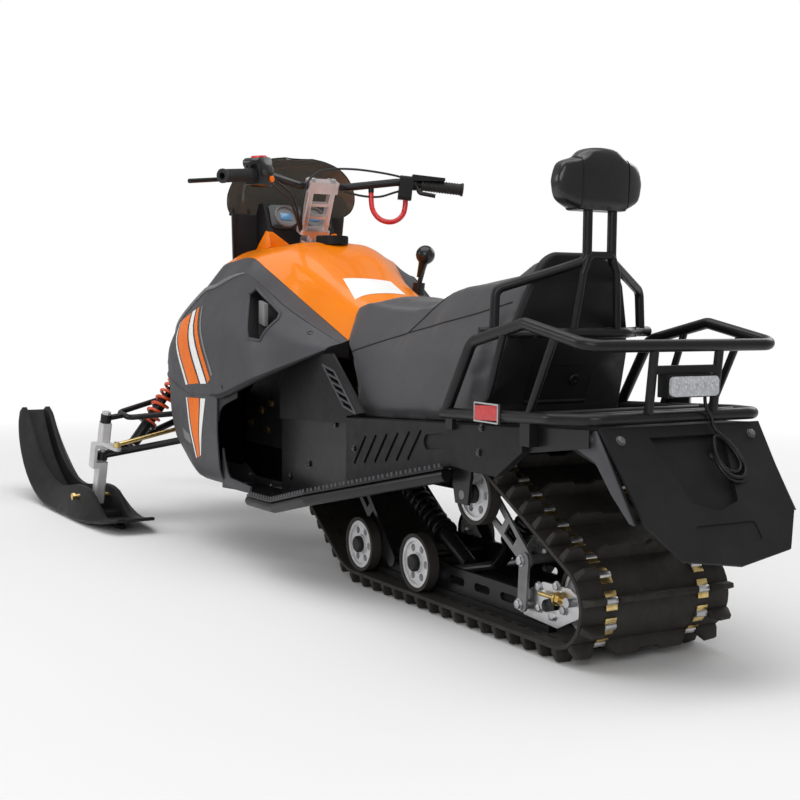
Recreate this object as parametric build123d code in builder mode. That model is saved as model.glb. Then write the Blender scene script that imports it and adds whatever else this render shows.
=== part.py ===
from build123d import *
import os
from math import atan2, cos, degrees, hypot, pi, radians, sin

os.makedirs("parts", exist_ok=True)

# Driving dimensions in mm; x forward, y left, z up, floor at z = 0
axle_x = -1257.5
fit = 0.3

# Track loop: pulley centres from the rear axle, radius at the belt's inner face
belt_width = 380.0
track_play = 25.0
belt_thickness = 8.0
lug_height = 30.0
lug_pitch = 52.0
lug_root = 17.0
lug_tip = 9.0
lane_inner = 82.0
idler_radius = 80.0
wheel_radius = 67.5
nose_radius = 150.0
sprocket_radius = 80.0
belt_floor = lug_height + belt_thickness
axle_z = belt_floor + idler_radius
rail_nose_x = axle_x + 815
upper_idler_x = axle_x + 302
upper_idler_z = 297.0
drive_x = axle_x + 1035
drive_z = 258.0
bogie_stations = [541, 806]
bogie_z = belt_floor + wheel_radius

# Slide suspension
rail_y = 125.0
rail_thickness = 10.0
rail_bottom = 52.0
rail_top = 108.0
shaft_radius = 10.0
wheel_y = 168.0
wheel_width = 26.0
tyre_depth = 9.0
arm_y = 146.0
arm_thickness = 6.0
front_arm_x = axle_x + 905
front_arm_z = 298.0
front_foot_x = axle_x + 700
rear_joint_x = axle_x + 145
rear_joint_z = 178.0
foot_z = 84.0
middle_shaft_x = axle_x + 520

# Tunnel
tunnel_half = belt_width / 2 + track_play
tunnel_wall = 4.0
tunnel_rear_x = axle_x - 130
tunnel_front_x = axle_x + 1175
tunnel_ref_x = axle_x + 360
tunnel_ref_z = 447.0
tunnel_slope = 0.055

# Running boards
board_drop_x = axle_x + 985
board_rear_x = axle_x + 322
board_front_x = axle_x + 1320
board_rear_z = 352.0
board_low_z = 196.0
board_front_z = 190.0
board_thickness = 5.0
board_outer = 340.0
board_rear_outer = 246.0
edge_radius = 15.0
sill_start_x = axle_x + 1136
sill_y = 312.0
sill_thickness = 8.0

# Body panels
panel_wall = 5.0
panel_gap = 0.6

# Steering
steer_x = axle_x + 1427
steer_z = 891.0
steer_rake = 23.3
post_radius = 15.0
riser_height = 150.0
bar_radius = 11.0
grip_x = axle_x + 1206
grip_y = 375.0
grip_z = 1027.0

# Front suspension, left side; the right side is mirrored
king_top = (axle_x + 2040, 415.0, 325.0)
king_foot = (axle_x + 2092, 425.0, 75.0)
tie_outer = (axle_x + 1985, 397.0, 246.0)
tie_inner = (axle_x + 1985, 132.0, 302.0)
frame_half = 120.0
ski_length = 1035.0
ski_tail_x = axle_x + 1797
ski_half = 92.0
ski_y = king_foot[1]


def tunnel_top(x):
    return tunnel_ref_z + (tunnel_ref_x - x) * tunnel_slope


def side_plane(y):
    return Plane(origin=(0, y, 0), x_dir=(1, 0, 0), z_dir=(0, -1, 0))


def save(part, name):
    part.label = name
    export_step(part, f"parts/{name}.step")


def plate(points, y, thickness):
    with BuildPart() as sheet:
        with BuildSketch(side_plane(y + thickness)):
            with BuildLine():
                Polyline(*points, close=True)
            make_face()
        extrude(amount=thickness)
    return sheet.part


def tube(points, radius, bend):
    with BuildPart() as run:
        with BuildLine() as path:
            FilletPolyline(*points, radius=bend)
        with BuildSketch(Plane(origin=path.line @ 0, z_dir=path.line % 0)):
            Circle(radius)
        sweep()
    return run.part


def rod(start, end, radius):
    span = Vector(*end) - Vector(*start)
    with BuildPart() as bar:
        with BuildSketch(Plane(origin=start, z_dir=span)):
            Circle(radius)
        extrude(amount=span.length)
    return bar.part


def cross_shaft(x, z, half, radius):
    return rod((x, -half, z), (x, half, z), radius)


def mirrored(part):
    return mirror(part, about=Plane.XZ)


def inset(points, wall):
    shifted = []
    last = len(points) - 1
    for i, here in enumerate(points):
        before = points[max(i - 1, 0)]
        after = points[min(i + 1, last)]
        normals = []
        for a, b in ((before, here), (here, after)):
            run = hypot(b[0] - a[0], b[1] - a[1])
            if run > 0:
                normals.append(((b[1] - a[1]) / run, (a[0] - b[0]) / run))
        if len(normals) == 1:
            normals.append(normals[0])
        (ay, az), (by, bz) = normals
        scale = wall / (1 + ay * by + az * bz)
        shifted.append((here[0] + (ay + by) * scale, here[1] + (az + bz) * scale))
    return shifted


def loft_rings(rings):
    with BuildPart() as shell:
        for x, ring in rings:
            with BuildSketch(Plane.YZ.offset(x)):
                with BuildLine():
                    Polyline(*ring, close=True)
                make_face()
        loft(ruled=True)
    return shell.part


# Body stations: x from the rear axle, then crown, brow, seam, crease, flank and hem as y, z
body_stations = [
    (925, 50, 706, 108, 682, 150, 606, 172, 598, 206, 590, 220, 580),
    (1100, 70, 775, 122, 754, 170, 688, 226, 680, 298, 612, 326, 500),
    (1287, 86, 862, 148, 840, 210, 791, 262, 774, 326, 640, 342, 445),
    (1348, 92, 862, 156, 848, 223, 821, 272, 772, 330, 635, 341.4, 442.1),
    (1475, 95, 855, 165, 842, 228, 812, 280, 742, 336, 610, 340, 436),
    (1540, 95, 850, 168, 836, 230, 800, 282, 732, 335, 600, 338, 433),
    (1770, 95, 742, 168, 728, 225, 680, 270, 640, 305, 560, 308, 470),
    (2050, 80, 640, 126, 628, 160, 600, 178, 570, 188, 520, 190, 484),
    (2200, 60, 585, 95, 575, 125, 555, 140, 535, 146, 510, 148, 488),
]
split_row = 4


def half_section(row):
    outer = [(row[1], row[2]), (row[3], row[4]), (row[5], row[6])]
    outer += [(row[7], row[8]), (row[9], row[10]), (row[11], row[12])]
    inner = inset([(-row[1], row[2])] + outer, panel_wall)[1:]
    return outer, inner


def cover_ring(row):
    outer, inner = half_section(row)
    top = [(-y, z) for y, z in reversed(outer[:3])] + outer[:3]
    under = inner[2::-1] + [(-y, z) for y, z in inner[:3]]
    return top + under


def panel_ring(row):
    outer, inner = half_section(row)
    run = hypot(row[7] - row[5], row[8] - row[6])
    step_y = (row[7] - row[5]) / run * panel_gap
    step_z = (row[8] - row[6]) / run * panel_gap
    outer = [(outer[2][0] + step_y, outer[2][1] + step_z)] + outer[3:]
    inner = [(inner[2][0] + step_y, inner[2][1] + step_z)] + inner[3:]
    return outer + inner[::-1]


def skin_block(rows):
    rings = []
    for row in rows:
        line = [(y, z + 1.3 * fit) for y, z in half_section(row)[0]]
        rings.append((axle_x + row[0], [(-y, z) for y, z in reversed(line)] + line))
    return loft_rings(rings)


def panel_side(x, z):
    for low, high in zip(body_stations, body_stations[1:]):
        if axle_x + low[0] <= x <= axle_x + high[0]:
            share = (x - axle_x - low[0]) / (high[0] - low[0])
            row = [a + (b - a) * share for a, b in zip(low, high)]
    drop = (row[8] - z) / (row[8] - row[10])
    return row[7] + (row[9] - row[7]) * drop


# Track
pulleys = [
    (axle_x, axle_z, idler_radius),
    (rail_nose_x, belt_floor + nose_radius, nose_radius),
    (drive_x, drive_z, sprocket_radius),
    (upper_idler_x, upper_idler_z, wheel_radius),
]
with BuildSketch(side_plane(belt_width / 2)) as belt_outside:
    for x, z, radius in pulleys:
        with Locations((x, z)):
            Circle(radius + belt_thickness)
    make_hull()
with BuildSketch(side_plane(belt_width / 2)) as belt_inside:
    for x, z, radius in pulleys:
        with Locations((x, z)):
            Circle(radius)
    make_hull()
loop = belt_outside.sketch_local.face().outer_wire()
lug_count = 2 * round(loop.length / lug_pitch / 2)
lug_lanes = [(-belt_width / 2 + 10, -lane_inner - 8, 0), (-lane_inner, lane_inner, 1)]
lug_lanes += [(lane_inner + 8, belt_width / 2 - 10, 0)]
lug_outline = [(-lug_root / 2, 1), (lug_root / 2, 1)]
lug_outline += [(lug_tip / 2, -lug_height), (-lug_tip / 2, -lug_height)]
with BuildPart() as track:
    extrude(belt_outside.sketch, amount=belt_width)
    extrude(belt_inside.sketch, amount=belt_width, mode=Mode.SUBTRACT)
    for lane_start, lane_end, parity in lug_lanes:
        with BuildSketch(side_plane(lane_end)):
            for i in range(lug_count):
                if i % 2 == parity:
                    spot = loop.position_at(i / lug_count)
                    run = loop.tangent_at(i / lug_count)
                    turn = degrees(atan2(run.Y, run.X))
                    with Locations(Location((spot.X, spot.Y, 0), (0, 0, turn))):
                        Polygon(*lug_outline, align=None)
        extrude(amount=lane_end - lane_start)
save(track.part, "track")

# Wheels of the slide suspension: x, z, radius, y
idler_y = 100.0
wheels = [(axle_x + s, bogie_z, wheel_radius, wheel_y) for s in bogie_stations]
wheels += [(upper_idler_x, upper_idler_z, wheel_radius, wheel_y), (axle_x, axle_z, idler_radius, idler_y)]
with BuildPart() as wheel_tyres:
    for x, z, radius, y in wheels:
        for side in (1, -1):
            with BuildSketch(side_plane(side * y + wheel_width / 2)):
                with Locations((x, z)):
                    Circle(radius - fit)
                    Circle(radius - tyre_depth, mode=Mode.SUBTRACT)
            extrude(amount=wheel_width)
save(wheel_tyres.part, "wheel_tyres")

rim_width = wheel_width - 6
rim_lip = 8.0
hub_radius = 24.0
dish_depth = 5.0
with BuildPart() as wheel_rims:
    for x, z, radius, y in wheels:
        for side in (1, -1):
            with BuildSketch(side_plane(side * y + rim_width / 2)):
                with Locations((x, z)):
                    Circle(radius - tyre_depth - fit)
                    Circle(shaft_radius + fit, mode=Mode.SUBTRACT)
                    with PolarLocations(radius * 0.55, 6):
                        Circle(radius * 0.13, mode=Mode.SUBTRACT)
            extrude(amount=rim_width)
            for face in (1, -1):
                with BuildSketch(side_plane(side * y + face * rim_width / 2)):
                    with Locations((x, z)):
                        Circle(radius - tyre_depth - rim_lip)
                        Circle(hub_radius, mode=Mode.SUBTRACT)
                extrude(amount=face * dish_depth, mode=Mode.SUBTRACT)
save(wheel_rims.part, "wheel_rims")

rail_outer = rail_y + rail_thickness
cap_y = wheel_y + wheel_width / 2 - 2
with BuildPart() as wheel_axles:
    add(cross_shaft(axle_x, axle_z, 160, shaft_radius))
    add(cross_shaft(middle_shaft_x, foot_z, rail_outer, shaft_radius))
    for station in bogie_stations:
        for side in (1, -1):
            x = axle_x + station
            add(rod((x, side * (rail_outer + fit), bogie_z), (x, side * (cap_y + 6), bogie_z), shaft_radius))
            add(rod((x, side * cap_y, bogie_z), (x, side * (cap_y + 6), bogie_z), 18))
save(wheel_axles.part, "wheel_axles")

rear_foot_x = axle_x + 150
nose_z = belt_floor + nose_radius
shoe_radius = nose_radius - (rail_bottom - belt_floor)
rail_outline = [(axle_x + 70, rail_bottom), (rail_nose_x, rail_bottom)]
for angle in (18, 34):
    swing = radians(angle)
    rail_outline.append((rail_nose_x + shoe_radius * sin(swing), nose_z - shoe_radius * cos(swing)))
rail_outline += [(rail_nose_x + 66, rail_top - 8), (rail_nose_x + 30, rail_top), (axle_x + 70, rail_top)]
with BuildPart() as slide_rails:
    for y in (rail_y, -rail_y - rail_thickness):
        with BuildSketch(side_plane(y + rail_thickness)):
            with BuildLine():
                Polyline(*rail_outline, close=True)
            make_face()
            with Locations((front_foot_x, foot_z), (middle_shaft_x, foot_z), (rear_foot_x, foot_z)):
                Circle(shaft_radius + fit, mode=Mode.SUBTRACT)
            with Locations(*[(axle_x + s, 80) for s in (230, 330, 430, 610)]):
                SlotOverall(60, 18, mode=Mode.SUBTRACT)
        extrude(amount=rail_thickness)
save(slide_rails.part, "slide_rails")

with BuildPart() as slide_shoes:
    for y in (rail_y - 5, -rail_y - rail_thickness - 5):
        with BuildSketch(side_plane(y + rail_thickness + 10)):
            with BuildLine():
                Polyline(
                    (axle_x + 80, belt_floor + fit),
                    (rail_nose_x, belt_floor + fit),
                    (rail_nose_x, rail_bottom - fit),
                    (axle_x + 80, rail_bottom - fit),
                    close=True,
                )
            make_face()
        extrude(amount=rail_thickness + 10)
save(slide_shoes.part, "slide_shoes")

end_plate = [(178, 100), (100, 140), (10, 142), (-28, 124), (-30, 94), (50, 54), (165, 60)]
with BuildPart() as rail_end_plates:
    for y in (rail_outer + fit, -rail_outer - fit - arm_thickness):
        with BuildSketch(side_plane(y + arm_thickness)):
            with BuildLine():
                Polyline(*[(axle_x + x, z) for x, z in end_plate], close=True)
            make_face()
            with Locations((axle_x, axle_z), (rear_foot_x, foot_z)):
                Circle(shaft_radius + fit, mode=Mode.SUBTRACT)
            with Locations(Location((axle_x + 72, 98, 0), (0, 0, -18))):
                SlotOverall(64, 26, mode=Mode.SUBTRACT)
        extrude(amount=arm_thickness)
save(rail_end_plates.part, "rail_end_plates")

shaft_half = tunnel_half - tunnel_wall - fit


def arm_sketch(y, thickness, big, small, window):
    with BuildPart() as arm:
        with BuildSketch(side_plane(y + thickness)):
            for x, z, radius in (big, small):
                with Locations((x, z)):
                    Circle(radius)
            make_hull()
            if window > 0:
                turn = atan2(small[1] - big[1], small[0] - big[0])
                dx, dz = -sin(turn) * window, cos(turn) * window
                for low, high in ((0.26, 0.46), (0.54, 0.74)):
                    ax, az = big[0] + (small[0] - big[0]) * low, big[1] + (small[1] - big[1]) * low
                    bx, bz = big[0] + (small[0] - big[0]) * high, big[1] + (small[1] - big[1]) * high
                    corners = [(ax + dx, az + dz), (ax - dx, az - dz)]
                    corners += [(bx - dx * 0.7, bz - dz * 0.7), (bx + dx * 0.7, bz + dz * 0.7)]
                    Polygon(*corners, align=None, mode=Mode.SUBTRACT)
        extrude(amount=thickness)
    return arm.part


link_y = arm_y + arm_thickness + fit
with BuildPart() as rear_arm:
    for y in (link_y, -link_y - arm_thickness):
        add(arm_sketch(y, arm_thickness, (rear_joint_x, rear_joint_z, 16), (rear_foot_x, foot_z, 15), 0))
    add(cross_shaft(rear_foot_x, foot_z, link_y + arm_thickness, shaft_radius))
    for y in (arm_y, -arm_y - arm_thickness):
        add(arm_sketch(y, arm_thickness, (upper_idler_x, upper_idler_z, 34), (rear_joint_x, rear_joint_z, 18), 15))
    add(cross_shaft(upper_idler_x, upper_idler_z, shaft_half, shaft_radius))
    add(cross_shaft(rear_joint_x, rear_joint_z, arm_y + arm_thickness, shaft_radius))
save(rear_arm.part, "rear_arm")

with BuildPart() as front_arm:
    for y in (arm_y, -arm_y - arm_thickness):
        add(arm_sketch(y, arm_thickness, (front_arm_x, front_arm_z, 26), (front_foot_x, foot_z, 18), 11))
    add(cross_shaft(front_arm_x, front_arm_z, shaft_half, shaft_radius))
    add(cross_shaft(front_foot_x, foot_z, arm_y + arm_thickness, shaft_radius))
save(front_arm.part, "front_arm")

bracket_y = shaft_half - 7
with BuildPart() as idler_brackets:
    for y in (bracket_y, -bracket_y - 7):
        with BuildSketch(side_plane(y + 7)):
            with BuildLine():
                Polyline(
                    (upper_idler_x + 24, upper_idler_z - 20),
                    (upper_idler_x + 62, 420),
                    (upper_idler_x - 48, 420),
                    (upper_idler_x - 24, upper_idler_z - 20),
                    close=True,
                )
            make_face()
            with Locations((upper_idler_x, upper_idler_z)):
                Circle(shaft_radius + fit, mode=Mode.SUBTRACT)
        extrude(amount=7)
save(idler_brackets.part, "idler_brackets")

# Shocks inside the track: upper shaft, side offset
shock_lines = [((front_arm_x, front_arm_z), 36.0), ((upper_idler_x, upper_idler_z), -36.0)]
track_shock_parts = []
for (x, z), y in shock_lines:
    span = hypot(x - middle_shaft_x, z - foot_z)
    ux, uz = (x - middle_shaft_x) / span, (z - foot_z) / span
    marks = [(shaft_radius + fit, span * 0.5, 19), (span * 0.5, span - shaft_radius - fit, 12)]
    marks += [(span * 0.3, span * 0.3 + 6, 32), (span * 0.84, span * 0.84 + 6, 32)]
    for start, end, radius in marks:
        track_shock_parts.append(rod((middle_shaft_x + ux * start, y, foot_z + uz * start),
                                     (middle_shaft_x + ux * end, y, foot_z + uz * end), radius))


def coil(start, end, core, outer, turns):
    span = Vector(*end) - Vector(*start)
    radial = Plane(origin=start, z_dir=span).x_dir
    pitch = span.length / turns
    rim = [(core, 0)]
    for i in range(turns):
        rim += [(outer - 4, i * pitch), (outer, (i + 0.3) * pitch), (outer, (i + 0.5) * pitch)]
        rim += [(outer - 4, (i + 0.8) * pitch)]
    rim += [(outer - 4, span.length), (core, span.length)]
    with BuildPart() as spring:
        with BuildSketch(Plane(origin=start, x_dir=radial, z_dir=radial.cross(span))):
            with BuildLine():
                Polyline(*rim, close=True)
            make_face()
        revolve(axis=Axis(start, span))
    return spring.part


track_coils = []
for (x, z), y in shock_lines:
    span = hypot(x - middle_shaft_x, z - foot_z)
    ux, uz = (x - middle_shaft_x) / span, (z - foot_z) / span
    low, high = span * 0.3 + 6 + fit, span * 0.84 - fit
    track_coils.append(coil((middle_shaft_x + ux * low, y, foot_z + uz * low),
                            (middle_shaft_x + ux * high, y, foot_z + uz * high), 19 + fit, 31, 7))

with BuildPart() as drive_axle:
    add(cross_shaft(drive_x, drive_z, shaft_half, 14))
    for y in (60, -90):
        with BuildSketch(side_plane(y + 30)):
            with Locations((drive_x, drive_z)):
                RegularPolygon(sprocket_radius - 1, 9)
        extrude(amount=30)
save(drive_axle.part, "drive_axle")

# Tunnel
board_slope = (board_rear_z - board_low_z) / (board_drop_x - board_rear_x)


def board_line(x):
    if x <= board_rear_x:
        return board_rear_z
    if x <= board_drop_x:
        return board_rear_z - (x - board_rear_x) * board_slope
    return board_low_z + (x - board_drop_x) * (board_front_z - board_low_z) / (board_front_x - board_drop_x)


tail_cut = [(axle_x + 148, board_rear_z), (axle_x + 59, 412)]
tunnel_side = [
    (tunnel_rear_x, tunnel_top(tunnel_rear_x)),
    (tunnel_front_x, tunnel_top(tunnel_front_x)),
    (tunnel_front_x, board_line(tunnel_front_x)),
    (board_drop_x, board_low_z),
    (board_rear_x, board_rear_z),
    *tail_cut,
    (tunnel_rear_x, tunnel_top(tunnel_rear_x) - 34),
]
with BuildPart() as tunnel:
    with BuildSketch(side_plane(tunnel_half)):
        with BuildLine():
            Polyline(*tunnel_side, close=True)
        make_face()
    extrude(amount=2 * tunnel_half)
    inner_front = tunnel_front_x - tunnel_wall
    with BuildSketch(side_plane(tunnel_half - tunnel_wall)):
        with BuildLine():
            Polyline(
                (tunnel_rear_x - 10, tunnel_top(tunnel_rear_x - 10) - tunnel_wall),
                (inner_front, tunnel_top(inner_front) - tunnel_wall),
                (inner_front, 0),
                (tunnel_rear_x - 10, 0),
                close=True,
            )
        make_face()
    extrude(amount=2 * (tunnel_half - tunnel_wall), mode=Mode.SUBTRACT)
save(tunnel.part, "tunnel")

cover_depth = 12.0
cover_front_x = axle_x + 790
cover_rear_x = axle_x + 62
board_top = board_thickness + fit
cover_outline = [
    (cover_rear_x, 414),
    (axle_x + 152, board_rear_z + 2),
    (board_rear_x, board_rear_z + board_top + 1),
    (cover_front_x, board_line(cover_front_x) + board_top + 1),
    (cover_front_x, tunnel_top(cover_front_x) - 1),
    (cover_rear_x, tunnel_top(cover_rear_x) - 1),
]
rib_stations = [470, 520, 570, 620, 670, 720]
with BuildPart() as side_covers:
    with BuildSketch(side_plane(tunnel_half + fit + cover_depth)):
        with BuildLine():
            Polyline(*cover_outline, close=True)
        make_face()
    extrude(amount=cover_depth)
    with BuildSketch(side_plane(tunnel_half + fit + cover_depth)):
        for station in rib_stations:
            middle = (board_line(axle_x + station) + tunnel_top(axle_x + station)) / 2 + 8
            with Locations(Location((axle_x + station, middle, 0), (0, 0, -52))):
                SlotOverall(92, 9)
        with Locations(Location((axle_x + 385, 404, 0), (0, 0, -8))):
            SlotOverall(92, 34)
    extrude(amount=5, mode=Mode.SUBTRACT)
    mirror(about=Plane.XZ)
save(side_covers.part, "side_covers")

board_edge = [(board_rear_x, board_rear_z), (board_drop_x, board_low_z), (board_front_x, board_front_z)]
taper_end_x = axle_x + 800
with BuildPart() as running_boards:
    with BuildSketch(side_plane(board_outer)):
        with BuildLine():
            Polyline(*board_edge, *[(x, z + board_thickness) for x, z in reversed(board_edge)], close=True)
        make_face()
    extrude(amount=board_outer - tunnel_half - fit)
    with BuildSketch(Plane.XY):
        with BuildLine():
            Polyline(
                (board_rear_x - 20, board_rear_outer),
                (board_rear_x, board_rear_outer),
                (taper_end_x, board_outer),
                (taper_end_x, board_outer + 80),
                (board_rear_x - 20, board_outer + 80),
                close=True,
            )
        make_face()
    extrude(amount=600, mode=Mode.SUBTRACT)
    with BuildSketch(Plane.XY):
        with Locations(((sill_start_x + board_front_x) / 2, sill_y + 60)):
            Rectangle(board_front_x - sill_start_x + 20, 120)
        with Locations((axle_x + 1062, tunnel_half + 55)):
            with GridLocations(30, 32, 5, 3):
                Circle(7)
    extrude(amount=600, mode=Mode.SUBTRACT)
    tube_drop = edge_radius - 2
    add(tube([
        (board_rear_x + 8, board_rear_outer - edge_radius, board_line(board_rear_x + 8) - tube_drop),
        (taper_end_x, board_outer - edge_radius, board_line(taper_end_x) - tube_drop),
        (board_drop_x, board_outer - edge_radius, board_low_z - tube_drop),
        (sill_start_x, board_outer - edge_radius, board_line(sill_start_x) - tube_drop),
    ], edge_radius, 60))
    mirror(about=Plane.XZ)
save(running_boards.part, "running_boards")

# Front frame, engine and underside
frame_rear_x = axle_x + 1885
frame_front_x = axle_x + 2170
frame_low_z = 252.0
skid_slope = 0.12
frame_top_z = 500.0
frame_outline = [
    (frame_rear_x, frame_low_z),
    (frame_rear_x + 10, 430),
    (axle_x + 2000, frame_top_z),
    (axle_x + 2140, frame_top_z),
    (frame_front_x, 440),
    (frame_front_x, frame_low_z + (frame_front_x - frame_rear_x) * skid_slope),
]
frame_rail_z = 254.0
frame_rail_height = 30.0
with BuildPart() as front_frame:
    with BuildSketch(side_plane(frame_half)):
        with BuildLine():
            Polyline(*frame_outline, close=True)
        make_face()
        with Locations((tie_inner[0], tie_inner[2] + 2)):
            Rectangle(96, 52, mode=Mode.SUBTRACT)
        with Locations((axle_x + 2108, 345)):
            Rectangle(60, 70, mode=Mode.SUBTRACT)
    extrude(amount=2 * frame_half)
    for y in (frame_half - 35, -frame_half + 5):
        add(plate([
            (tunnel_front_x + fit, frame_rail_z),
            (frame_rear_x + 5, frame_rail_z),
            (frame_rear_x + 5, frame_rail_z + frame_rail_height),
            (tunnel_front_x + fit, frame_rail_z + frame_rail_height),
        ], y, 30))
save(front_frame.part, "front_frame")

skid_top = frame_low_z - fit
skid_run = [(frame_rear_x - 120, skid_top), (frame_rear_x, skid_top)]
skid_run += [(frame_front_x, skid_top + (frame_front_x - frame_rear_x) * skid_slope), (axle_x + 2196, 336)]
with BuildPart() as skid_plate:
    with BuildSketch(side_plane(110)):
        with BuildLine():
            Polyline(*skid_run, *[(x + 1, z - 6) for x, z in reversed(skid_run)], close=True)
        make_face()
    extrude(amount=220)
save(skid_plate.part, "skid_plate")

engine_base = frame_rail_z + frame_rail_height + fit
engine_outline = [
    (axle_x + 1205, engine_base), (axle_x + 1600, engine_base), (axle_x + 1600, engine_base + 130),
    (axle_x + 1520, engine_base + 190), (axle_x + 1490, engine_base + 250), (axle_x + 1300, engine_base + 250),
    (axle_x + 1260, engine_base + 190), (axle_x + 1205, engine_base + 120),
]
save(plate(engine_outline, -130, 260), "engine")

# Belly pan: x from the rear axle, then rim, wall, chine and keel as y, z
belly_stations = [
    (1322, 341.6, 442.7, 339, 300, 316, 205, 190, 178),
    (1475, 340, 435.4, 337, 300, 312, 202, 190, 176),
    (1540, 338, 432.4, 334, 302, 306, 204, 185, 178),
    (1760, 309.3, 467.8, 300, 345, 268, 262, 150, 240),
]
belly_rings = []
for row in belly_stations:
    outer = [(row[1], row[2]), (row[3], row[4]), (row[5], row[6]), (row[7], row[8])]
    outer += [(-y, z) for y, z in reversed(outer)]
    belly_rings.append((axle_x + row[0], outer + inset(outer, panel_wall)[::-1]))
sill_outline = [(1336, 300), (1318, 262), (1296, 222), (1150, 214), (1150, 199), (1336, 188)]
with BuildPart() as belly_pan:
    add(loft_rings(belly_rings))
    for y in (sill_y, -sill_y - sill_thickness):
        add(plate([(axle_x + x, z) for x, z in sill_outline], y, sill_thickness))
save(belly_pan.part, "belly_pan")

# Upper body
steer_plane = Plane(
    origin=(steer_x, 0, steer_z),
    x_dir=(cos(radians(steer_rake)), 0, sin(radians(steer_rake))),
    z_dir=(-sin(radians(steer_rake)), 0, cos(radians(steer_rake))),
)
bearing_radius = post_radius + 17
sleeve_radius = post_radius + 9
with BuildPart() as tank_cover:
    add(loft_rings([(axle_x + row[0], cover_ring(row)) for row in body_stations[:split_row + 1]]))
    with BuildSketch(steer_plane.offset(-100)):
        Circle(bearing_radius + fit)
    extrude(amount=160, mode=Mode.SUBTRACT)
save(tank_cover.part, "tank_cover")

with BuildPart() as steering_bearing:
    with BuildSketch(steer_plane.offset(-48)):
        Circle(bearing_radius)
        Circle(post_radius + fit, mode=Mode.SUBTRACT)
    extrude(amount=36)
    with BuildSketch(steer_plane.offset(-96)):
        Circle(sleeve_radius)
        Circle(post_radius + fit, mode=Mode.SUBTRACT)
    extrude(amount=48)
save(steering_bearing.part, "steering_bearing")

# Tube frame that carries the steering column over the engine
hub = steer_plane.offset(-84).origin
rear_leg = (axle_x + 1156, 150.0)
front_leg = (axle_x + 1985, 92.0)
pad_height = 8.0
with BuildPart() as upper_frame:
    pad_z = tunnel_top(rear_leg[0] - 16) + fit
    for side in (1, -1):
        add(rod((rear_leg[0], side * rear_leg[1], pad_z + 12), (hub.X - 14, side * 38, hub.Z - 8), 10))
        with BuildSketch(Plane.XY.offset(pad_z)):
            with Locations((rear_leg[0], side * rear_leg[1])):
                Rectangle(32, 34)
        extrude(amount=pad_height)
        add(rod((front_leg[0], side * front_leg[1], frame_top_z + 12), (hub.X + 14, side * 38, hub.Z + 2), 10))
        with BuildSketch(Plane.XY.offset(frame_top_z + fit)):
            with Locations((front_leg[0] + 34, side * front_leg[1])):
                Rectangle(100, 34)
        extrude(amount=pad_height)
    with BuildSketch(steer_plane.offset(-94)):
        Circle(50)
    extrude(amount=20)
    with BuildSketch(steer_plane.offset(-140)):
        Circle(sleeve_radius + fit)
    extrude(amount=140, mode=Mode.SUBTRACT)
save(upper_frame.part, "upper_frame")

hood_rings = [(axle_x + row[0], cover_ring(row)) for row in body_stations[split_row:]]
hood_rings[0] = (hood_rings[0][0] + panel_gap, hood_rings[0][1])
save(loft_rings(hood_rings), "hood")

vent_outline = [(1236, 736), (1250, 720), (1168, 604), (1114, 600), (1107, 656), (1118, 672)]
vent_slats = [(626, 1104, 1192), (654, 1098, 1212), (682, 1112, 1232), (708, 1166, 1250)]
with BuildPart() as side_panels:
    add(loft_rings([(axle_x + row[0], panel_ring(row)) for row in body_stations]))
    with BuildSketch(side_plane(sill_y + 60)):
        with BuildLine():
            Polyline(*[(axle_x + x, z) for x, z in vent_outline], close=True)
        make_face()
    extrude(amount=180, mode=Mode.SUBTRACT)
    for z, rear, front in vent_slats:
        ends = [(axle_x + x, panel_side(axle_x + x, z) - panel_wall / 2, z) for x in (rear, front)]
        add(rod(*ends, 3.5))
    mirror(about=Plane.XZ)
save(side_panels.part, "side_panels")

nose_row = body_stations[-1]
nose_outer = half_section(nose_row)[0]
nose_ring = nose_outer + [(-y, z) for y, z in reversed(nose_outer)]
nose_middle = (nose_row[2] + nose_row[12]) / 2
nose_small = [(y * 0.84, nose_middle + (z - nose_middle) * 0.78) for y, z in nose_ring]
nose_back_x = axle_x + nose_row[0] + panel_gap
nose_front_x = nose_back_x + 46
save(loft_rings([(nose_back_x, nose_ring), (nose_front_x, nose_small)]), "nose_mask")

with BuildPart() as headlamps:
    for side in (1, -1):
        with BuildSketch(Plane.YZ.offset(nose_front_x + fit)):
            with Locations((side * 62, nose_middle)):
                RectangleRounded(74, 34, 12)
        extrude(amount=9)
save(headlamps.part, "headlamps")

bumper_start = frame_front_x + fit + 9
with BuildPart() as front_bumper:
    add(tube([
        (bumper_start, 84, 372), (axle_x + 2290, 84, 392), (axle_x + 2306, 84, 470),
        (axle_x + 2306, -84, 470), (axle_x + 2290, -84, 392), (bumper_start, -84, 372),
    ], 12, 30))
    for y in (84, -84):
        with BuildSketch(Plane.YZ.offset(frame_front_x + fit)):
            with Locations((y, 372)):
                RectangleRounded(44, 50, 8)
        extrude(amount=10)
save(front_bumper.part, "front_bumper")

# Foot well walls under the tank cover
well_outline = [(876, 575), (712, 441), (796, 426), (798, 408), (1172, 390), (1172, 480), (1100, 560)]
well_wall = 8.0
well_y = tunnel_half + fit
with BuildPart() as foot_wells:
    with BuildSketch(side_plane(well_y + well_wall)):
        with BuildLine():
            Polyline(*[(axle_x + x, z) for x, z in well_outline], close=True)
        make_face()
        for i in range(5):
            with Locations(Location((axle_x + 792 + i * 22, 452 + i * 19, 0), (0, 0, 12))):
                SlotOverall(54, 9, mode=Mode.SUBTRACT)
    extrude(amount=well_wall)
    mirror(about=Plane.XZ)
save(foot_wells.part, "foot_wells")

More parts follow.
